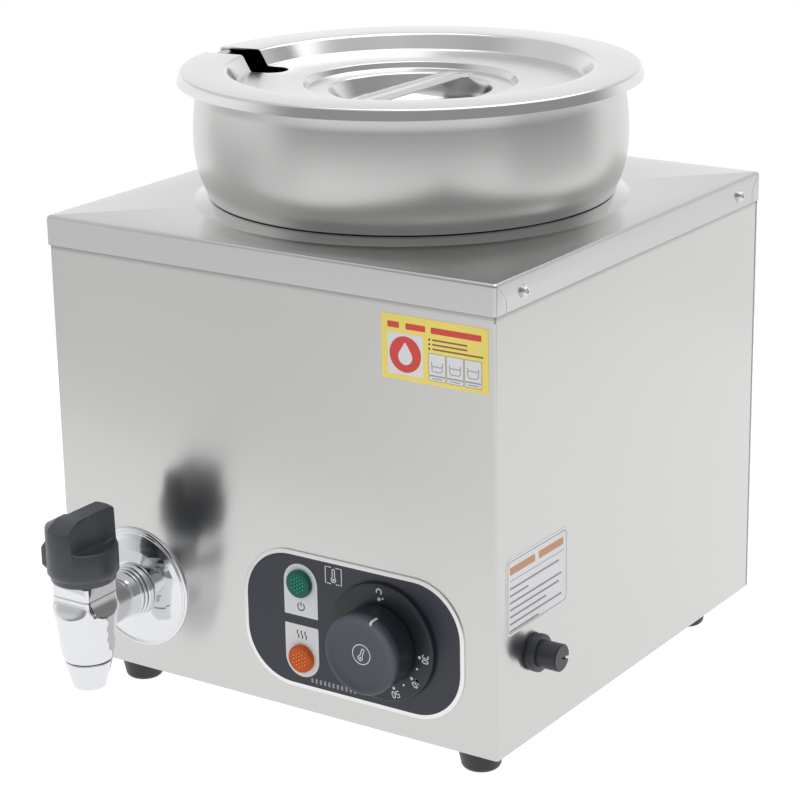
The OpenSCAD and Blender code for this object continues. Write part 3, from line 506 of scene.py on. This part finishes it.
def makePot():
    p = pot
    rim = (potHigh.z - potLow.z) / mm
    belly, lower, corner, step, roll = p["belly"], p["lower"], p["corner"], p["step"], p["roll"]
    path = [(0, 0)] + arc((lower - corner, corner), corner, -90, 0, 10)
    path += arc((lower + 1.2, step - 1.2), 1.2, 180, 90, 4)
    path += arc((belly - 7.8, step + 1.8), 1.8, -90, -20, 6)
    path += bezier((belly - 5.6, step + 3.5), (belly - 0.7, step + 13),
                   (belly + 2.9, step + 28), (belly - 2.3, rim - 9), 22)
    path += arc((belly + 1.3, rim - roll), roll - p["sheet"], 180, -60, 16)
    bm = turned(bmesh.new(), sheetOutline(path, p["sheet"]), potCentre, up, 192)
    newPiece("innerPot", bm, potSteel, "pot", ["pot"], sharp=50)


def makeLid():
    c = lid
    low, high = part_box("lid")
    centre = Vector((potCentre.x, potCentre.y, high.z))
    outer = (high.x - low.x) / 2 / mm
    top, edge = outer - c["flare"], 1.8
    foot, shelf = c["well"] - 5, -c["wellDepth"] - c["step"]
    path = [(outer, -c["skirt"])] + arc((top - edge, -edge), edge, 5, 90, 7)
    path += eased([(c["well"] + 8, 0), (c["well"], 0), (foot, -c["wellDepth"]),
                   (c["ring"] + 0.8, -c["wellDepth"]), (c["ring"] - 0.8, shelf), (c["dish"], shelf),
                   (c["dish"] - 6, shelf - c["dishDepth"]), (0, shelf - c["dishDepth"])],
                  [0, 2.6, 1.8, 1.0, 0.8, 2, 9, 0], closed=False, steps=7)
    bm = turned(bmesh.new(), sheetOutline(path, c["sheet"]), centre, up, 192)
    piece = newPiece("potLid", bm, lidSteel, "lid", ["lid"], sharp=50)
    cutter = bmesh.new()
    turn = Matrix.Rotation(math.radians(c["notchTurn"]), 3, "Z")
    half = c["notchWidth"] / 2
    slot = arc((c["notchIn"] + half, 0), half, 90, 270, 24) + [(140, -half), (140, half)]
    prism(cutter, slot, centre + up * (shelf - 8) * mm, turn @ right, turn @ back, 30)
    carved(piece, cutter)


strap = {"thick": 1.2, "rib": 0.75, "ribHalf": 2.4, "ribEnd": 5, "edge": 0.5}


def strapHeight(x, y, wide, half):  # a flat strap with two pressed ribs and eased edges
    c = strap
    off = abs(abs(x) - wide / 4)
    rib = c["rib"] * max(0.0, math.cos(off / c["ribHalf"] * math.pi / 2)) if off < c["ribHalf"] else 0
    rib *= min(1, max(0, (half - abs(y) - c["ribEnd"]) / c["ribEnd"]))
    return c["thick"] + rib - c["edge"] * max(0, abs(x) - wide / 2 + 1) ** 2


def makeHandle():
    low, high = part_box("lid_handle")
    size = (high - low) / mm
    rows, columns = 40, 18
    bm = bmesh.new()
    grid = []
    for i in range(rows + 1):
        y = size.y * (i / rows - 0.5)
        places = [(size.x * (k / columns - 0.5), y) for k in range(columns + 1)]
        grid.append([bm.verts.new((potCentre.x + x * mm, potCentre.y + y * mm,
                                   low.z + strapHeight(x, y, size.x, size.y / 2) * mm)) for x, y in places])
    skinned(bm, grid, closed=False)
    shell = bmesh.ops.extrude_face_region(bm, geom=bm.faces[:])
    for g in shell["geom"]:
        if isinstance(g, bmesh.types.BMVert):
            g.co.z = low.z
    newPiece("lidHandle", bm, lidSteel, "lid", ["lid_handle"], sharp=40)


makePot()
makeLid()
makeHandle()
print("pot and lid")


tap = {"body": [(12.9, -25.4), (13.9, -22.5), (14.7, -18), (15.1, -12), (15.8, -5), (16.6, 0), (17.2, 3)],
       "barrel": 12.6, "hub": 15.8, "flat": 12.25, "scoop": 10, "seatRise": 12,
       "knob": 19, "foot": 17.4, "footRise": 4.4, "wall": 5.9, "floor": 19.2, "fin": 2.8, "finTurn": 28,
       "screwHole": 1.2, "screwRise": 3.8, "screwTurn": -32, "voxel": 0.00045, "soften": 26,
       "collars": {"Front": (-8.6, -6.6, 0.8), "Middle": (-6.2, -4.4, 1.5), "Back": (-4.0, -0.2, 2.3)}}
rosetteLow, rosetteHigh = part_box("tap_rosette")
bonnetLow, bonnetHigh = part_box("tap_bonnet")
tapAxis = Vector((middle("tap_rosette").x, middle("tap_bonnet").y, middle("tap_rosette").z))


def makeRosette():
    centre = Vector((tapAxis.x, rosetteHigh.y, tapAxis.z))
    r = (rosetteHigh.x - rosetteLow.x) / 2 / mm
    bore = tap["barrel"] + 0.1
    outline = eased([(bore, 0), (r - 0.2, 0), (r, 0.9), (r - 1.3, 1.35), (r - 1.6, 1.0), (r - 2.5, 1.75),
                     (r - 2.9, 1.5), (r - 6, 2.5), (22, 3.8), (tap["hub"], 5), (bore, 5)],
                    [0, 0.2, 0.6, 0.5, 0.3, 0.4, 0.3, 3, 3, 1.2, 0])
    bm = turned(bmesh.new(), outline, centre, front, 128)
    newPiece("tapRosette", bm, chrome, "cabinet", ["tap_rosette"], sharp=60)


def alongProfile(points, z):  # radius of a profile at a height
    for (r0, z0), (r1, z1) in zip(points, points[1:]):
        if z <= z1:
            t = max(0, (z - z0) / (z1 - z0))
            return r0 + (r1 - r0) * t * t * (3 - 2 * t) if z1 - z0 > 4 else r0 + (r1 - r0) * t
    return points[-1][0]


def flatReach(z):  # distance from the axis to the flats under the bonnet
    c = tap
    drop = min(max(c["seatRise"] - 1.5 - z, 0), c["scoop"])
    return c["flat"] + c["scoop"] - math.sqrt(c["scoop"] ** 2 - drop ** 2)


def makeTapBody():  # a round spout that turns square towards the bonnet
    c = tap
    bm = bmesh.new()
    steps, levels = 144, 96
    low, high = c["body"][0][1], c["seatRise"]
    rings = []
    for i in range(levels + 1):
        z = low + (high - low) * i / levels
        round_, flat = alongProfile(c["body"], z), flatReach(z)
        ring = []
        for u, v in aroundCircle(1, steps):
            square = flat / max(abs(u), abs(v))
            r = -0.6 * math.log(math.exp(-round_ / 0.6) + math.exp(-square / 0.6)) if z > -4 else round_
            ring.append(bm.verts.new(tapAxis + (right * u + back * v) * r * mm + up * z * mm))
        rings.append(ring)
    skinned(bm, rings)
    bm.faces.new(rings[0])
    bm.faces.new(rings[-1])
    body = newPiece("tapBody", bm, chrome, "cabinet", ["tap_body"])
    reach = (rosetteHigh.y - tapAxis.y) / mm - 4
    barrel = [(0, 0), (c["barrel"], 0), (c["barrel"], reach), (0, reach)]
    carved(body, turned(bmesh.new(), barrel, tapAxis, back, 96), "UNION")
    remesh = body.modifiers.new("cast", "REMESH")
    remesh.mode, remesh.voxel_size = "VOXEL", c["voxel"]
    smooth = body.modifiers.new("soften", "SMOOTH")
    smooth.iterations, smooth.factor = c["soften"], 0.5
    settle(body, 180)
    hole, away = c["screwHole"], Matrix.Rotation(math.radians(c["screwTurn"]), 3, "Z") @ right
    place = tapAxis + up * c["screwRise"] * mm
    carved(body, turned(bmesh.new(), [(0, 10), (hole, 10), (hole, 20), (0, 20)], place, away, 32))
    r, head = hole - 0.1, 15.2
    screw = eased([(0, 13.2), (r, 13.2), (r, head), (0.5, head), (0.5, head - 0.8), (0, head - 0.8)], 0.1)
    bm = turned(bmesh.new(), screw, place, away, 32)
    newPiece("tapSetScrew", bm, screwSteel, "cabinet")


def makeCollars():  # three rings between the tap and its rosette
    face = (rosetteLow.y - tapAxis.y) / mm
    for name, (start, end, extra) in tap["collars"].items():
        edge = tap["barrel"] + extra
        corners = [(8, face + start), (edge, face + start), (edge, face + end), (8, face + end)]
        ring = eased(corners, [0, 0.7, 0.7, 0])
        bm = turned(bmesh.new(), ring, tapAxis, back, 96)
        newPiece("tapCollar" + name, bm, chrome, "cabinet", sharp=60)


def makeBonnet():
    size = (bonnetHigh - bonnetLow) / mm
    centre = Vector((tapAxis.x, tapAxis.y, bonnetLow.z))
    bm = prism(bmesh.new(), roundedBox(size.x, size.y, 2, 6), centre, right, back, size.z, edge=0.5)
    newPiece("tapBonnet", bm, chrome, "cabinet", ["tap_bonnet"], sharp=50)


def makeNozzle():
    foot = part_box("tap_nozzle")[0].z
    centre = Vector((tapAxis.x, tapAxis.y, foot))
    h = (tapAxis.z - foot) / mm - 25.5
    outline = eased([(6.3, 0), (8.8, 0), (12.9, h - 0.6), (12.5, h - 0.1), (6.3, h - 0.1)],
                    [0.3, 2.2, 0.4, 0.2, 0], steps=8)
    bm = turned(bmesh.new(), outline, centre, up, 96)
    newPiece("tapNozzle", bm, chrome, "cabinet", ["tap_nozzle"], sharp=50)


def smoothStep(value, start, end):
    t = min(max((value - start) / (end - start), 0), 1)
    return t * t * (3 - 2 * t)


def knobHeight(x, y, tall):  # top of the knob over a point: a wing along Y, scooped on both sides
    c = tap
    r = math.hypot(x, y)
    ridge = tall - 1.5 * (c["knob"] - y) / 27
    nose = max(0, (-8 - y) / 11)
    ridge -= 5.6 * nose ** 1.6 + 0.55 * max(0, -x - 8) * smoothStep(-y, -6, 4)
    wall = c["wall"] + 0.9 * max(0, (-y - 10) / 8) ** 2 + 2.9 * max(0, (y - 2) / 15) ** 2
    leftWall = -c["wall"] - 0.6 + 1.8 * max(0, y / 18) - 14 * smoothStep(-y, 2, 9)
    floor = c["floor"] - 1.4 * smoothStep(r, c["knob"] - 1.6, 12)
    floor += 2.6 * math.exp(-max(0, x - wall) / 1.5) if x > 0 else 0
    lift = (1 - smoothStep(x, wall - 0.3, wall + 1.0)) * smoothStep(x, leftWall - 1.0, leftWall + 0.3)
    rim = 0.9 * max(0, (r - c["knob"] + 1.1) / 1.1) ** 2
    return floor + (ridge - floor) * lift - rim


def makeTapKnob():
    c = tap
    low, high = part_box("tap_knob")
    base = Vector((tapAxis.x, tapAxis.y, low.z))
    tall = (high.z - low.z) / mm
    rings, steps = 54, 300
    bm = bmesh.new()
    grid = []
    for i in range(1, rings + 1):
        places = aroundCircle(c["knob"] * i / rings, steps)
        grid.append([bm.verts.new(base + Vector((x, y, knobHeight(x, y, tall))) * mm) for x, y in places])
    side, foot, rise = c["knob"], c["foot"], c["footRise"]
    for radius, z in ((side, 8), (side, rise + 0.8), (side - 0.5, rise + 0.1), (foot + 0.2, rise - 0.9),
                      (foot, rise - 1.4), (foot - 0.2, 0.9), (foot - 1.0, 0)):
        grid.append([bm.verts.new(base + Vector((x, y, z)) * mm) for x, y in aroundCircle(radius, steps)])
    skinned(bm, grid)
    bm.faces.new(grid[0])
    bm.faces.new(grid[-1])
    newPiece("tapKnob", bm, knobPlastic, "tap_handle", ["tap_knob"], sharp=70)
    turn = Matrix.Rotation(math.radians(c["finTurn"]), 3, "Z")
    reach = side + c["fin"]
    outline = eased([(-reach, 8), (-side, 5), (3 - side, 5), (3 - side, 21), (-side - 0.4, 21),
                     (-reach, 17.5)], 0.8)
    bm = prism(bmesh.new(), outline, base + turn @ back * mm, turn @ right, up, 2, edge=0.3)
    newPiece("tapKnobFin", bm, finPlastic, "tap_handle", sharp=40)


makeRosette()
makeTapBody()
makeCollars()
makeBonnet()
makeNozzle()
makeTapKnob()
print("tap")


plateLow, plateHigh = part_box("control_plate")
plateSize = (plateHigh - plateLow) / mm
plateFace = Vector(((plateLow.x + plateHigh.x) / 2, plateLow.y, (plateLow.z + plateHigh.z) / 2))
controls = {"corner": 30, "border": 2.5, "ink": 0.06, "tabWidth": 21.2, "tabTop": 10.6, "tabFoot": 18.4,
            "bezelEdge": 1.4}
lamp = {"edge": 1.5, "cell": 2.05, "bump": 0.15, "dome": 0.55, "rim": 0.75, "stem": 6.2}
dial = {"edge": 1.1, "dip": 1.5, "mark": 69, "markWidth": 1.3, "markFrom": 18.6, "icon": 5.3,
        "firstTurn": -5.5, "perStep": -32.5, "first": 30, "last": 80,
        "dotRadius": 24.2, "numberRadius": 27.6, "numberTall": 3.5, "numberWide": 1.75}
dialLow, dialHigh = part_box("dial_knob")
bezelLow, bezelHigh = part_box("dial_bezel")
dialCentre = Vector(((dialLow.x + dialHigh.x) / 2, plateLow.y, (dialLow.z + dialHigh.z) / 2))


def printed(name, finish, origin, across, upward, outlines=(), lines=(), thick=0.4, depth=0.06,
            body="cabinet"):  # thin raised ink
    bm = bmesh.new()
    for outline in outlines:
        prism(bm, outline, origin, across, upward, depth)
    for line in lines:
        stroke(bm, line, thick, origin, across, upward, depth)
    return newPiece(name, bm, finish, body)


def ringLine(centre, radius, steps=48):
    return arc(centre, radius, 0, 360, steps)


def dot(centre, radius, steps=16):
    return ringLine(centre, radius, steps)[:-1]


def bar(left, low, wide, tall, rounding=0.3):
    points = [(left, low), (left + wide, low), (left + wide, low + tall), (left, low + tall)]
    return eased(points, min(rounding, tall * 0.45), steps=3)


def moved(points, shift, turn=0.0):
    c, s = math.cos(math.radians(turn)), math.sin(math.radians(turn))
    return [(shift[0] + u * c - v * s, shift[1] + u * s + v * c) for u, v in points]


def thermometer(tall):  # bulb outline with a stem, standing on its bulb
    bulb, stem = tall * 0.2, tall * 0.1
    lean = math.degrees(math.asin(stem / bulb))
    points = arc((0, bulb), bulb, 90 + lean, 450 - lean, 20)
    return points + arc((0, tall - stem), stem, 0, 180, 8) + points[:1]


def digitLines(digit):  # strokes in a box one wide and two tall, about its middle
    upper, lower = (0, 0.5), (0, -0.5)
    oval = [(0.5 * u, v) for u, v in arc((0, 0), 1, 0, 360, 28)]
    return {
        0: [oval],
        3: [arc(upper, 0.5, 160, -90, 14), arc(lower, 0.5, 90, -160, 14)],
        4: [[(0.2, -1), (0.2, 1), (-0.5, -0.4), (0.5, -0.4)]],
        5: [[(0.45, 1), (-0.4, 1), (-0.42, 0.1)] + arc((0, -0.4), 0.55, 130, -150, 14)],
        6: [ringLine(lower, 0.5, 20), [(-0.5, -0.5)] + arc((0.15, 0.2), 0.75, 190, 100, 8)],
        7: [[(-0.5, 1), (0.5, 1), (-0.15, -1)]],
        8: [ringLine((0, 0.52), 0.45, 20), ringLine(lower, 0.5, 20)],
    }[digit]


def makePlate():
    c = controls
    centre = plateFace.copy()
    centre.y = plateHigh.y
    bm = prism(bmesh.new(), roundedBox(plateSize.x, plateSize.z, c["corner"], 16), centre, right, up,
               plateSize.y, edge=0.35)
    newPiece("controlPlate", bm, paleEdge, "cabinet", ["control_plate"], sharp=50)
    b = c["border"]
    field = roundedBox(plateSize.x - 2 * b, plateSize.z - 2 * b, c["corner"] - b, 16)
    newPiece("plateField", prism(bmesh.new(), field, plateFace, right, up, c["ink"]),
             platePrint, "cabinet")
    printed("plateRim", darkInk, plateFace, right, up, lines=[field + field[:1]], thick=0.35, depth=0.09)


def makeLampTabs():
    c = controls
    for name, node, side in (("upperTab", "power_lamp", 1), ("lowerTab", "heat_lamp", -1)):
        centre = middle(node)
        centre.y = plateFace.y
        half = c["tabWidth"] / 2
        tab = arc((0, 0), c["tabTop"], 0, 180, 20) + [(-half, -c["tabFoot"]), (half, -c["tabFoot"])]
        tab = [(u, v * side) for u, v in eased(tab, 0.5)]
        printed(name, paleInk, centre, right, up, outlines=[tab], depth=0.1)
        lower = -c["tabFoot"] / 2 - 3.9
        if side > 0:  # a broken circle with a stroke
            icon = [arc((0, lower), 2.1, 125, 415, 18), [(0, lower + 0.2), (0, lower + 2.7)]]
        else:  # three rising waves
            icon = [[(x + 0.5 * math.sin(t * math.pi / 6), -lower - 2.2 + t * 0.37) for t in range(13)]
                    for x in (-2.4, 0, 2.4)]
        printed(name + "Mark", darkInk, centre, right, up, lines=icon, thick=0.65, depth=0.14)


def makeLamp(name, node, finish):  # a domed lens with a hexagonal grid of bumps
    c = lamp
    low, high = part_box(node)
    r, out = (high.x - low.x) / 2 / mm, (plateLow.y - low.y) / mm
    centre = middle(node)
    centre.y = plateLow.y
    lip = r - c["edge"]
    steps, count = 72, 22
    profile = [(c["stem"], -8), (r - 0.1, -0.2), (r, 0.2), (r, out - 2.3)]
    profile += arc((r - 1.2, out - 1.8), 1.2, 10, 80, 6) + [(lip - 0.3, out - c["rim"])]
    rings = [[(u, v, z) for u, v in aroundCircle(radius, steps)] for radius, z in profile]
    wave = 2 * math.pi / c["cell"] / math.cos(math.radians(30))
    for i in range(1, count):
        radius = (lip - 0.5) * (1 - i / count)
        line = []
        for u, v in aroundCircle(radius, steps):
            cell = sum(math.cos(wave * (u * math.cos(math.radians(turn)) + v * math.sin(math.radians(turn))))
                       for turn in (0, 60, 120))
            fade = smoothStep(lip - radius, 0.5, 1.4)
            line.append((u, v, out - c["dome"] + c["bump"] * fade * cell))
        rings.append(line)
    bm = bmesh.new()
    made = [[bm.verts.new(centre + right * u * mm + up * v * mm + front * z * mm) for u, v, z in ring]
            for ring in rings]
    skinned(bm, made)
    bm.faces.new(made[-1])
    bm.faces.new(made[0])
    newPiece(name, bm, finish, "cabinet", [node], sharp=40)


def makeBezel():
    c = controls
    size = (bezelHigh - bezelLow) / mm
    r, thick = size.x / 2, size.y
    inner = dial["markFrom"] + 0.6
    outline = eased([(5.2, 0), (r, 0), (r, thick), (inner, thick), (inner, 1.5), (5.2, 1.5)],
                    [0, 0, c["bezelEdge"], 0.4, 0.3, 0], steps=6)
    bm = turned(bmesh.new(), outline, dialCentre, front, 144)
    newPiece("dialBezel", bm, bezelPlastic, "cabinet", ["dial_bezel"], sharp=50)


def makeScale():  # numbers and dots round the dial
    d = dial
    face = dialCentre + front * (bezelHigh - bezelLow).y
    lines, dots = [], []
    count = (d["last"] - d["first"]) // 5 + 2
    for i in range(count):
        turn = d["firstTurn"] + d["perStep"] * i / 2
        a = math.radians(turn)
        size = 0.62 if i % 2 else 0.85
        dots.append(dot((d["dotRadius"] * math.cos(a), d["dotRadius"] * math.sin(a)), size))
        if i % 2:
            continue
        place = (d["numberRadius"] * math.cos(a), d["numberRadius"] * math.sin(a))
        for k, digit in enumerate(divmod(d["first"] + 5 * i, 10)):
            for line in digitLines(digit):
                sized = [(u * d["numberWide"] + (k - 0.5) * (d["numberWide"] + 0.9), v * d["numberTall"] / 2)
                         for u, v in line]
                lines.append(moved(sized, place, turn - 90))
    dots += [dot((0, d["dotRadius"]), 0.95), dot((2.2, d["dotRadius"] + 0.6), 0.55)]
    lines.append(arc((0, d["numberRadius"] + 0.6), 1.5, -50, 210, 16))
    printed("dialScale", paleInk, face, right, up, outlines=dots, lines=lines, thick=0.62)


def makeDial():
    d = dial
    foot = Vector((dialCentre.x, dialHigh.y, dialCentre.z))
    r, tall = (dialHigh.x - dialLow.x) / 2 / mm, (dialHigh.y - dialLow.y) / mm
    edge, low = d["edge"], tall - 0.2 - d["dip"]
    outline = [(r - 3.5, 0), (r - 0.6, 0), (r, 0.8), (r, tall - edge)]
    outline += arc((r - edge, tall - edge), edge, 10, 90, 7) + [(r - 2.6, tall - 0.12)]
    outline += [(r * t, low + d["dip"] * t * t) for t in (0.82, 0.7, 0.56, 0.42, 0.28, 0.14, 0)]
    outline += [(0, tall - 4), (r - 3.5, tall - 4)]
    bm = turned(bmesh.new(), outline, foot, front, 144)
    newPiece("dialKnob", bm, dialPlastic, "dial", ["dial_knob"], sharp=60)
    a = math.radians(d["mark"])
    across, along = Vector((math.sin(a), 0, -math.cos(a))), Vector((math.cos(a), 0, math.sin(a)))
    bm = bmesh.new()
    path = [(d["markFrom"], tall - 0.2), (r - 1.2, tall + 0.06)]
    path += arc((r - edge, tall - edge), edge + 0.06, 85, 5, 6) + [(r + 0.06, tall - 5.2)]
    rows = [[bm.verts.new(foot + along * u * mm + front * v * mm + across * w * d["markWidth"] / 2 * mm)
             for w in (-1, -0.5, 0, 0.5, 1)] for u, v in path]
    skinned(bm, rows, closed=False)
    sheet = bmesh.ops.extrude_face_region(bm, geom=bm.faces[:])
    sunk = [g for g in sheet["geom"] if isinstance(g, bmesh.types.BMVert)]
    bmesh.ops.translate(bm, verts=sunk, vec=(-along - front) * 0.12 * mm)
    newPiece("dialMark", bm, paleInk, "dial", sharp=60)
    face = foot + front * (low - 0.04) * mm
    lean = moved(thermometer(7), (-1.2, -3.4), -20)
    bead = dot((-0.72, -2.1), 0.62, 14)
    printed("dialIcon", paleInk, face, right, up, outlines=[bead], lines=[ringLine((0, 0), d["icon"]), lean],
            thick=0.5, depth=0.16, body="dial")


def makePlateMarks():
    shapes = []
    place = spot(181.6, 0, 80.2)
    place.y = plateFace.y
    half, tall, gap = 5.0, 4.5, 1.4
    for side in (-1, 1):
        shapes.append([(side * gap, tall), (side * half, tall), (side * half, -tall), (side * gap, -tall)])
    shapes.append(moved(thermometer(7.2), (0, -3.6)))
    printed("plateThermometer", paleInk, place, right, up, [dot((0, -2.2), 0.7, 14)], shapes, 0.55, 0.12)
    row = spot(dialCentre.x / mm - trayLow.x / mm, 0, 18.6)
    row.y = plateFace.y
    ticks = [bar(2.7 * i - 46.2, -1.3, 1.3, 2.6, 0.2) for i in range(11)]
    printed("plateTicks", greyInk, row, right, up, outlines=ticks, depth=0.1)


def makeResetNut():  # round locking ring with a narrow flange
    low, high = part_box("reset_nut")
    size = (high - low) / mm
    centre = Vector((low.x, (low.y + high.y) / 2, (low.z + high.z) / 2))
    r, thick = size.z / 2, size.x
    outline = eased([(r * 0.5, 0), (r - 0.9, 0), (r - 0.9, thick * 0.24), (r, thick * 0.3), (r, thick),
                     (r * 0.5, thick)], [0, 0.3, 0.3, 0.3, 0.7, 0])
    bm = turned(bmesh.new(), outline, centre, right, 120)
    newPiece("resetRing", bm, blackPlastic, "cabinet", ["reset_nut"], sharp=60)


makePlate()
makeLampTabs()
makeResetNut()
makeLamp("powerLens", "power_lamp", greenLens)
makeLamp("heatLens", "heat_lamp", amberLens)
makeBezel()
makeScale()
makeDial()
makePlateMarks()
print("controls")


notice = {"border": 3.6, "panel": 20.5, "panelTall": 21, "disc": 9.2, "boxes": 3, "pitch": 10.3,
          "layer": 0.05, "ink": 0.06, "words": ((0, 6.8), (10.6, 11.4), (25.2, 28.8)), "rows": (20, 20, 29)}
resetNotes = {"inset": 1.5, "margin": 3.4, "heading": 4, "row": 3.75, "rowTall": 1.1,
              "lengths": (0.9, 0.33, 0.95, 0.9, 0.66, 0.95, 0.52)}


def makeNotice():  # a drop in a disc, bars for words and three boxes with a pan each
    n = notice
    low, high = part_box("warning_label")
    at = Vector((low.x, low.y, high.z))  # upper left corner of the film
    b, layer = n["border"], n["layer"]

    def laid(name, finish, outlines=(), lines=(), thick=0.4, raised=n["ink"]):
        printed("notice" + name, finish, at, right, up, outlines, lines, thick, raised)

    words = [bar(b + start, -6.9, length, 3.1, 0.5) for start, length in n["words"]]
    laid("Heading", redInk, words)
    panel = bar(b, -9.3 - n["panelTall"], n["panel"], n["panelTall"], 0.1)
    boxes = []
    for i in range(n["boxes"]):
        left = 27.4 + i * n["pitch"]
        boxes += [bar(left, -27.9, 9.7, 10.9), bar(left, -30.7, 9.7, 2.4, 0.7)]
    laid("Panels", whiteFilm, [panel] + boxes, raised=layer)
    laid("Frames", greyInk, lines=[line + line[:1] for line in boxes], thick=0.28, raised=layer * 1.6)
    centre = (b + n["panel"] / 2, -9.3 - n["panelTall"] / 2)
    laid("Disc", redInk, [dot(centre, n["disc"], 64)], raised=layer * 2)
    drop = arc((0, -1.2), 4.1, 150, 390, 24) + [(0, 6.4)]
    laid("Drop", whiteFilm, [moved(eased(drop, [0.3] * 25 + [0.4]), centre)], raised=layer * 3)
    rows, beads = [], []
    for i, length in enumerate(n["rows"]):
        rows.append(bar(29.6, -10.5 - i * 2.3, length, 0.85, 0.2))
        beads.append(dot((27.9, -10.1 - i * 2.3), 0.6, 14))
    laid("Rows", rustInk, rows)
    laid("Beads", darkInk, beads)
    pans = []
    for i in range(n["boxes"]):
        x, z = 32.25 + i * n["pitch"], -23.6
        side = [(2.2, z - 2.4), (2.9, z - 1.6), (3.2, z + 2.6)]
        pans.append([(x - u, v) for u, v in side[::-1]] + [(x + u, v) for u, v in side])
        pans.append([(x + t * 0.55, z + 0.2 + i * 0.5 + 0.35 * math.sin(t * 1.6)) for t in range(-5, 6)])
        pans.append([(x - 3, -29.5), (x + 3, -29.5)])
    laid("Pans", greyInk, lines=pans, raised=layer * 2)


def makeSteps():  # a frame, two heading bars and rows for words
    n = resetNotes
    low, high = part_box("reset_label")
    wide, tall = (high.y - low.y) / mm, (high.z - low.z) / mm
    at = Vector((high.x, low.y, high.z))
    left, inset = n["margin"], n["inset"]
    frameLine = moved(roundedBox(wide - 2 * inset, tall - 2 * inset, 2.6, 6), (wide / 2, -tall / 2))
    printed("stepsFrame", rustInk, at, back, up, lines=[frameLine + frameLine[:1]], thick=0.3)
    heading = [bar(start, -8.6, 24.2, n["heading"], 0.6) for start in (left, left + 27.8)]
    printed("stepsHeading", copperInk, at, back, up, heading)
    rows = [bar(left, -16.4 - i * n["row"], length * (wide - 7), n["rowTall"])
            for i, length in enumerate(n["lengths"])]
    printed("stepsRows", greyInk, at, back, up, rows + [bar(left, -11.9, wide - 7, 0.35, 0.1)])


makeNotice()
makeSteps()
print("stickers")


camera = {"from": (894, -990, 564), "turn": 34.07, "pitch": 17.74, "roll": -0.99, "lens": 115.2}


def makeCamera():
    c = camera
    turn, pitch, roll = (math.radians(c[k]) for k in ("turn", "pitch", "roll"))
    look = Vector((-math.sin(turn) * math.cos(pitch), math.cos(turn) * math.cos(pitch), -math.sin(pitch)))
    side = look.cross(up).normalized()
    top = side.cross(look)
    sideways = side * math.cos(roll) + top * math.sin(roll)
    upright = top * math.cos(roll) - side * math.sin(roll)
    lens = bpy.data.cameras.new("camera")
    lens.lens, lens.sensor_width, lens.clip_start = c["lens"], 36, 0.05
    body = bpy.data.objects.new("camera", lens)
    body.matrix_world = Matrix((
        (sideways.x, upright.x, -look.x, 0), (sideways.y, upright.y, -look.y, 0),
        (sideways.z, upright.z, -look.z, 0), (0, 0, 0, 1)))
    body.matrix_world.translation = spot(*c["from"])
    bpy.context.scene.collection.objects.link(body)
    bpy.context.scene.camera = body


stage = {"floorFront": 0.42, "floorLeft": 0.55, "floorFar": 0.72, "floorRight": 0.8, "paper": 0.06,
         "glow": 1.02}


def makeFloor():  # pale paper, its front edge just past the tap
    s = stage
    ground = min(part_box("rubber_feet")[0].z, 0)
    bm = bmesh.new()
    west, east, near, far = -s["floorLeft"], s["floorRight"], -s["floorFront"], s["floorFar"]
    corners = ((west, near), (east, near), (east, far), (west, far))
    bm.faces.new([bm.verts.new((*corner, 0)) for corner in corners])
    mesh = bpy.data.meshes.new("floor")
    bm.to_mesh(mesh)
    bm.free()
    floor = bpy.data.objects.new("floor", mesh)
    floor.location = (0, 0, ground)
    paper = Finish("paper")
    paper.set(baseColor=(s["paper"],) * 3, roughness=0.9, emissionColor=(1, 1, 1), emissionStrength=s["glow"])
    mesh.materials.append(paper.material)
    bpy.context.scene.collection.objects.link(floor)


def makeLight(name, place, aim, size, power):
    lamp = bpy.data.lights.new(name, "AREA")
    lamp.shape, lamp.size, lamp.energy = "SQUARE", size, power
    body = bpy.data.objects.new(name, lamp)
    body.location = place
    body.rotation_euler = (Vector(aim) - Vector(place)).to_track_quat("-Z", "Y").to_euler()
    bpy.context.scene.collection.objects.link(body)


studio = {"below": 1.02, "behind": 1.14, "above": 0.8, "nearSide": 0.36, "nearTurn": -38,
          "dips": ((195, 0.2, 0.87, 0.94), (212, 0.2, 0.7, 0.93), (24, 0.36, 0.78, 0.93))}


def makeWorld():  # white paper behind, a dim room round the camera, a softer glow overhead
    c = studio
    world = bpy.data.worlds.new("studio")
    world.use_nodes = True
    f = Nodes(world.node_tree)
    f.tree.nodes.clear()
    way = f.add("ShaderNodeSeparateXYZ", sockets={0: f.add("ShaderNodeTexCoord", out="Generated")})
    x, y, z = (way.sibling(k) for k in range(3))

    def towards(turn):
        return x * math.cos(math.radians(turn)) + y * math.sin(math.radians(turn))

    low = 1 - f.ramp(z, -0.1, 0.03)
    near = f.ramp(towards(c["nearTurn"]), -0.35, 0.25)
    far = c["behind"] - (c["behind"] - c["above"]) * f.ramp(z, 0.0, 0.45)
    room = c["nearSide"] + (c["above"] - c["nearSide"]) * f.ramp(z, 0.55, 0.95)
    ground = c["below"]
    for turn, depth, start, end in c["dips"]:  # darker stretches of the room's floor, by direction
        ground = ground * (1 - depth * f.ramp(towards(turn), start, end))
    light = (far * (1 - near) + room * near) * (1 - low) + ground * low
    seen = f.add("ShaderNodeLightPath", out="Is Camera Ray")
    sky = f.add("ShaderNodeBackground", sockets={"Color": (1, 1, 1), "Strength": light * (1 - seen) + seen})
    f.add("ShaderNodeOutputWorld", sockets={0: sky})
    bpy.context.scene.world = world


makeWorld()
bpy.context.scene.view_settings.view_transform = "Standard"
makeCamera()
makeFloor()
makeLight("overhead", (0.3, 0.6, 2.2), (0, 0, 0.1), 2.4, 22)
print("staging")
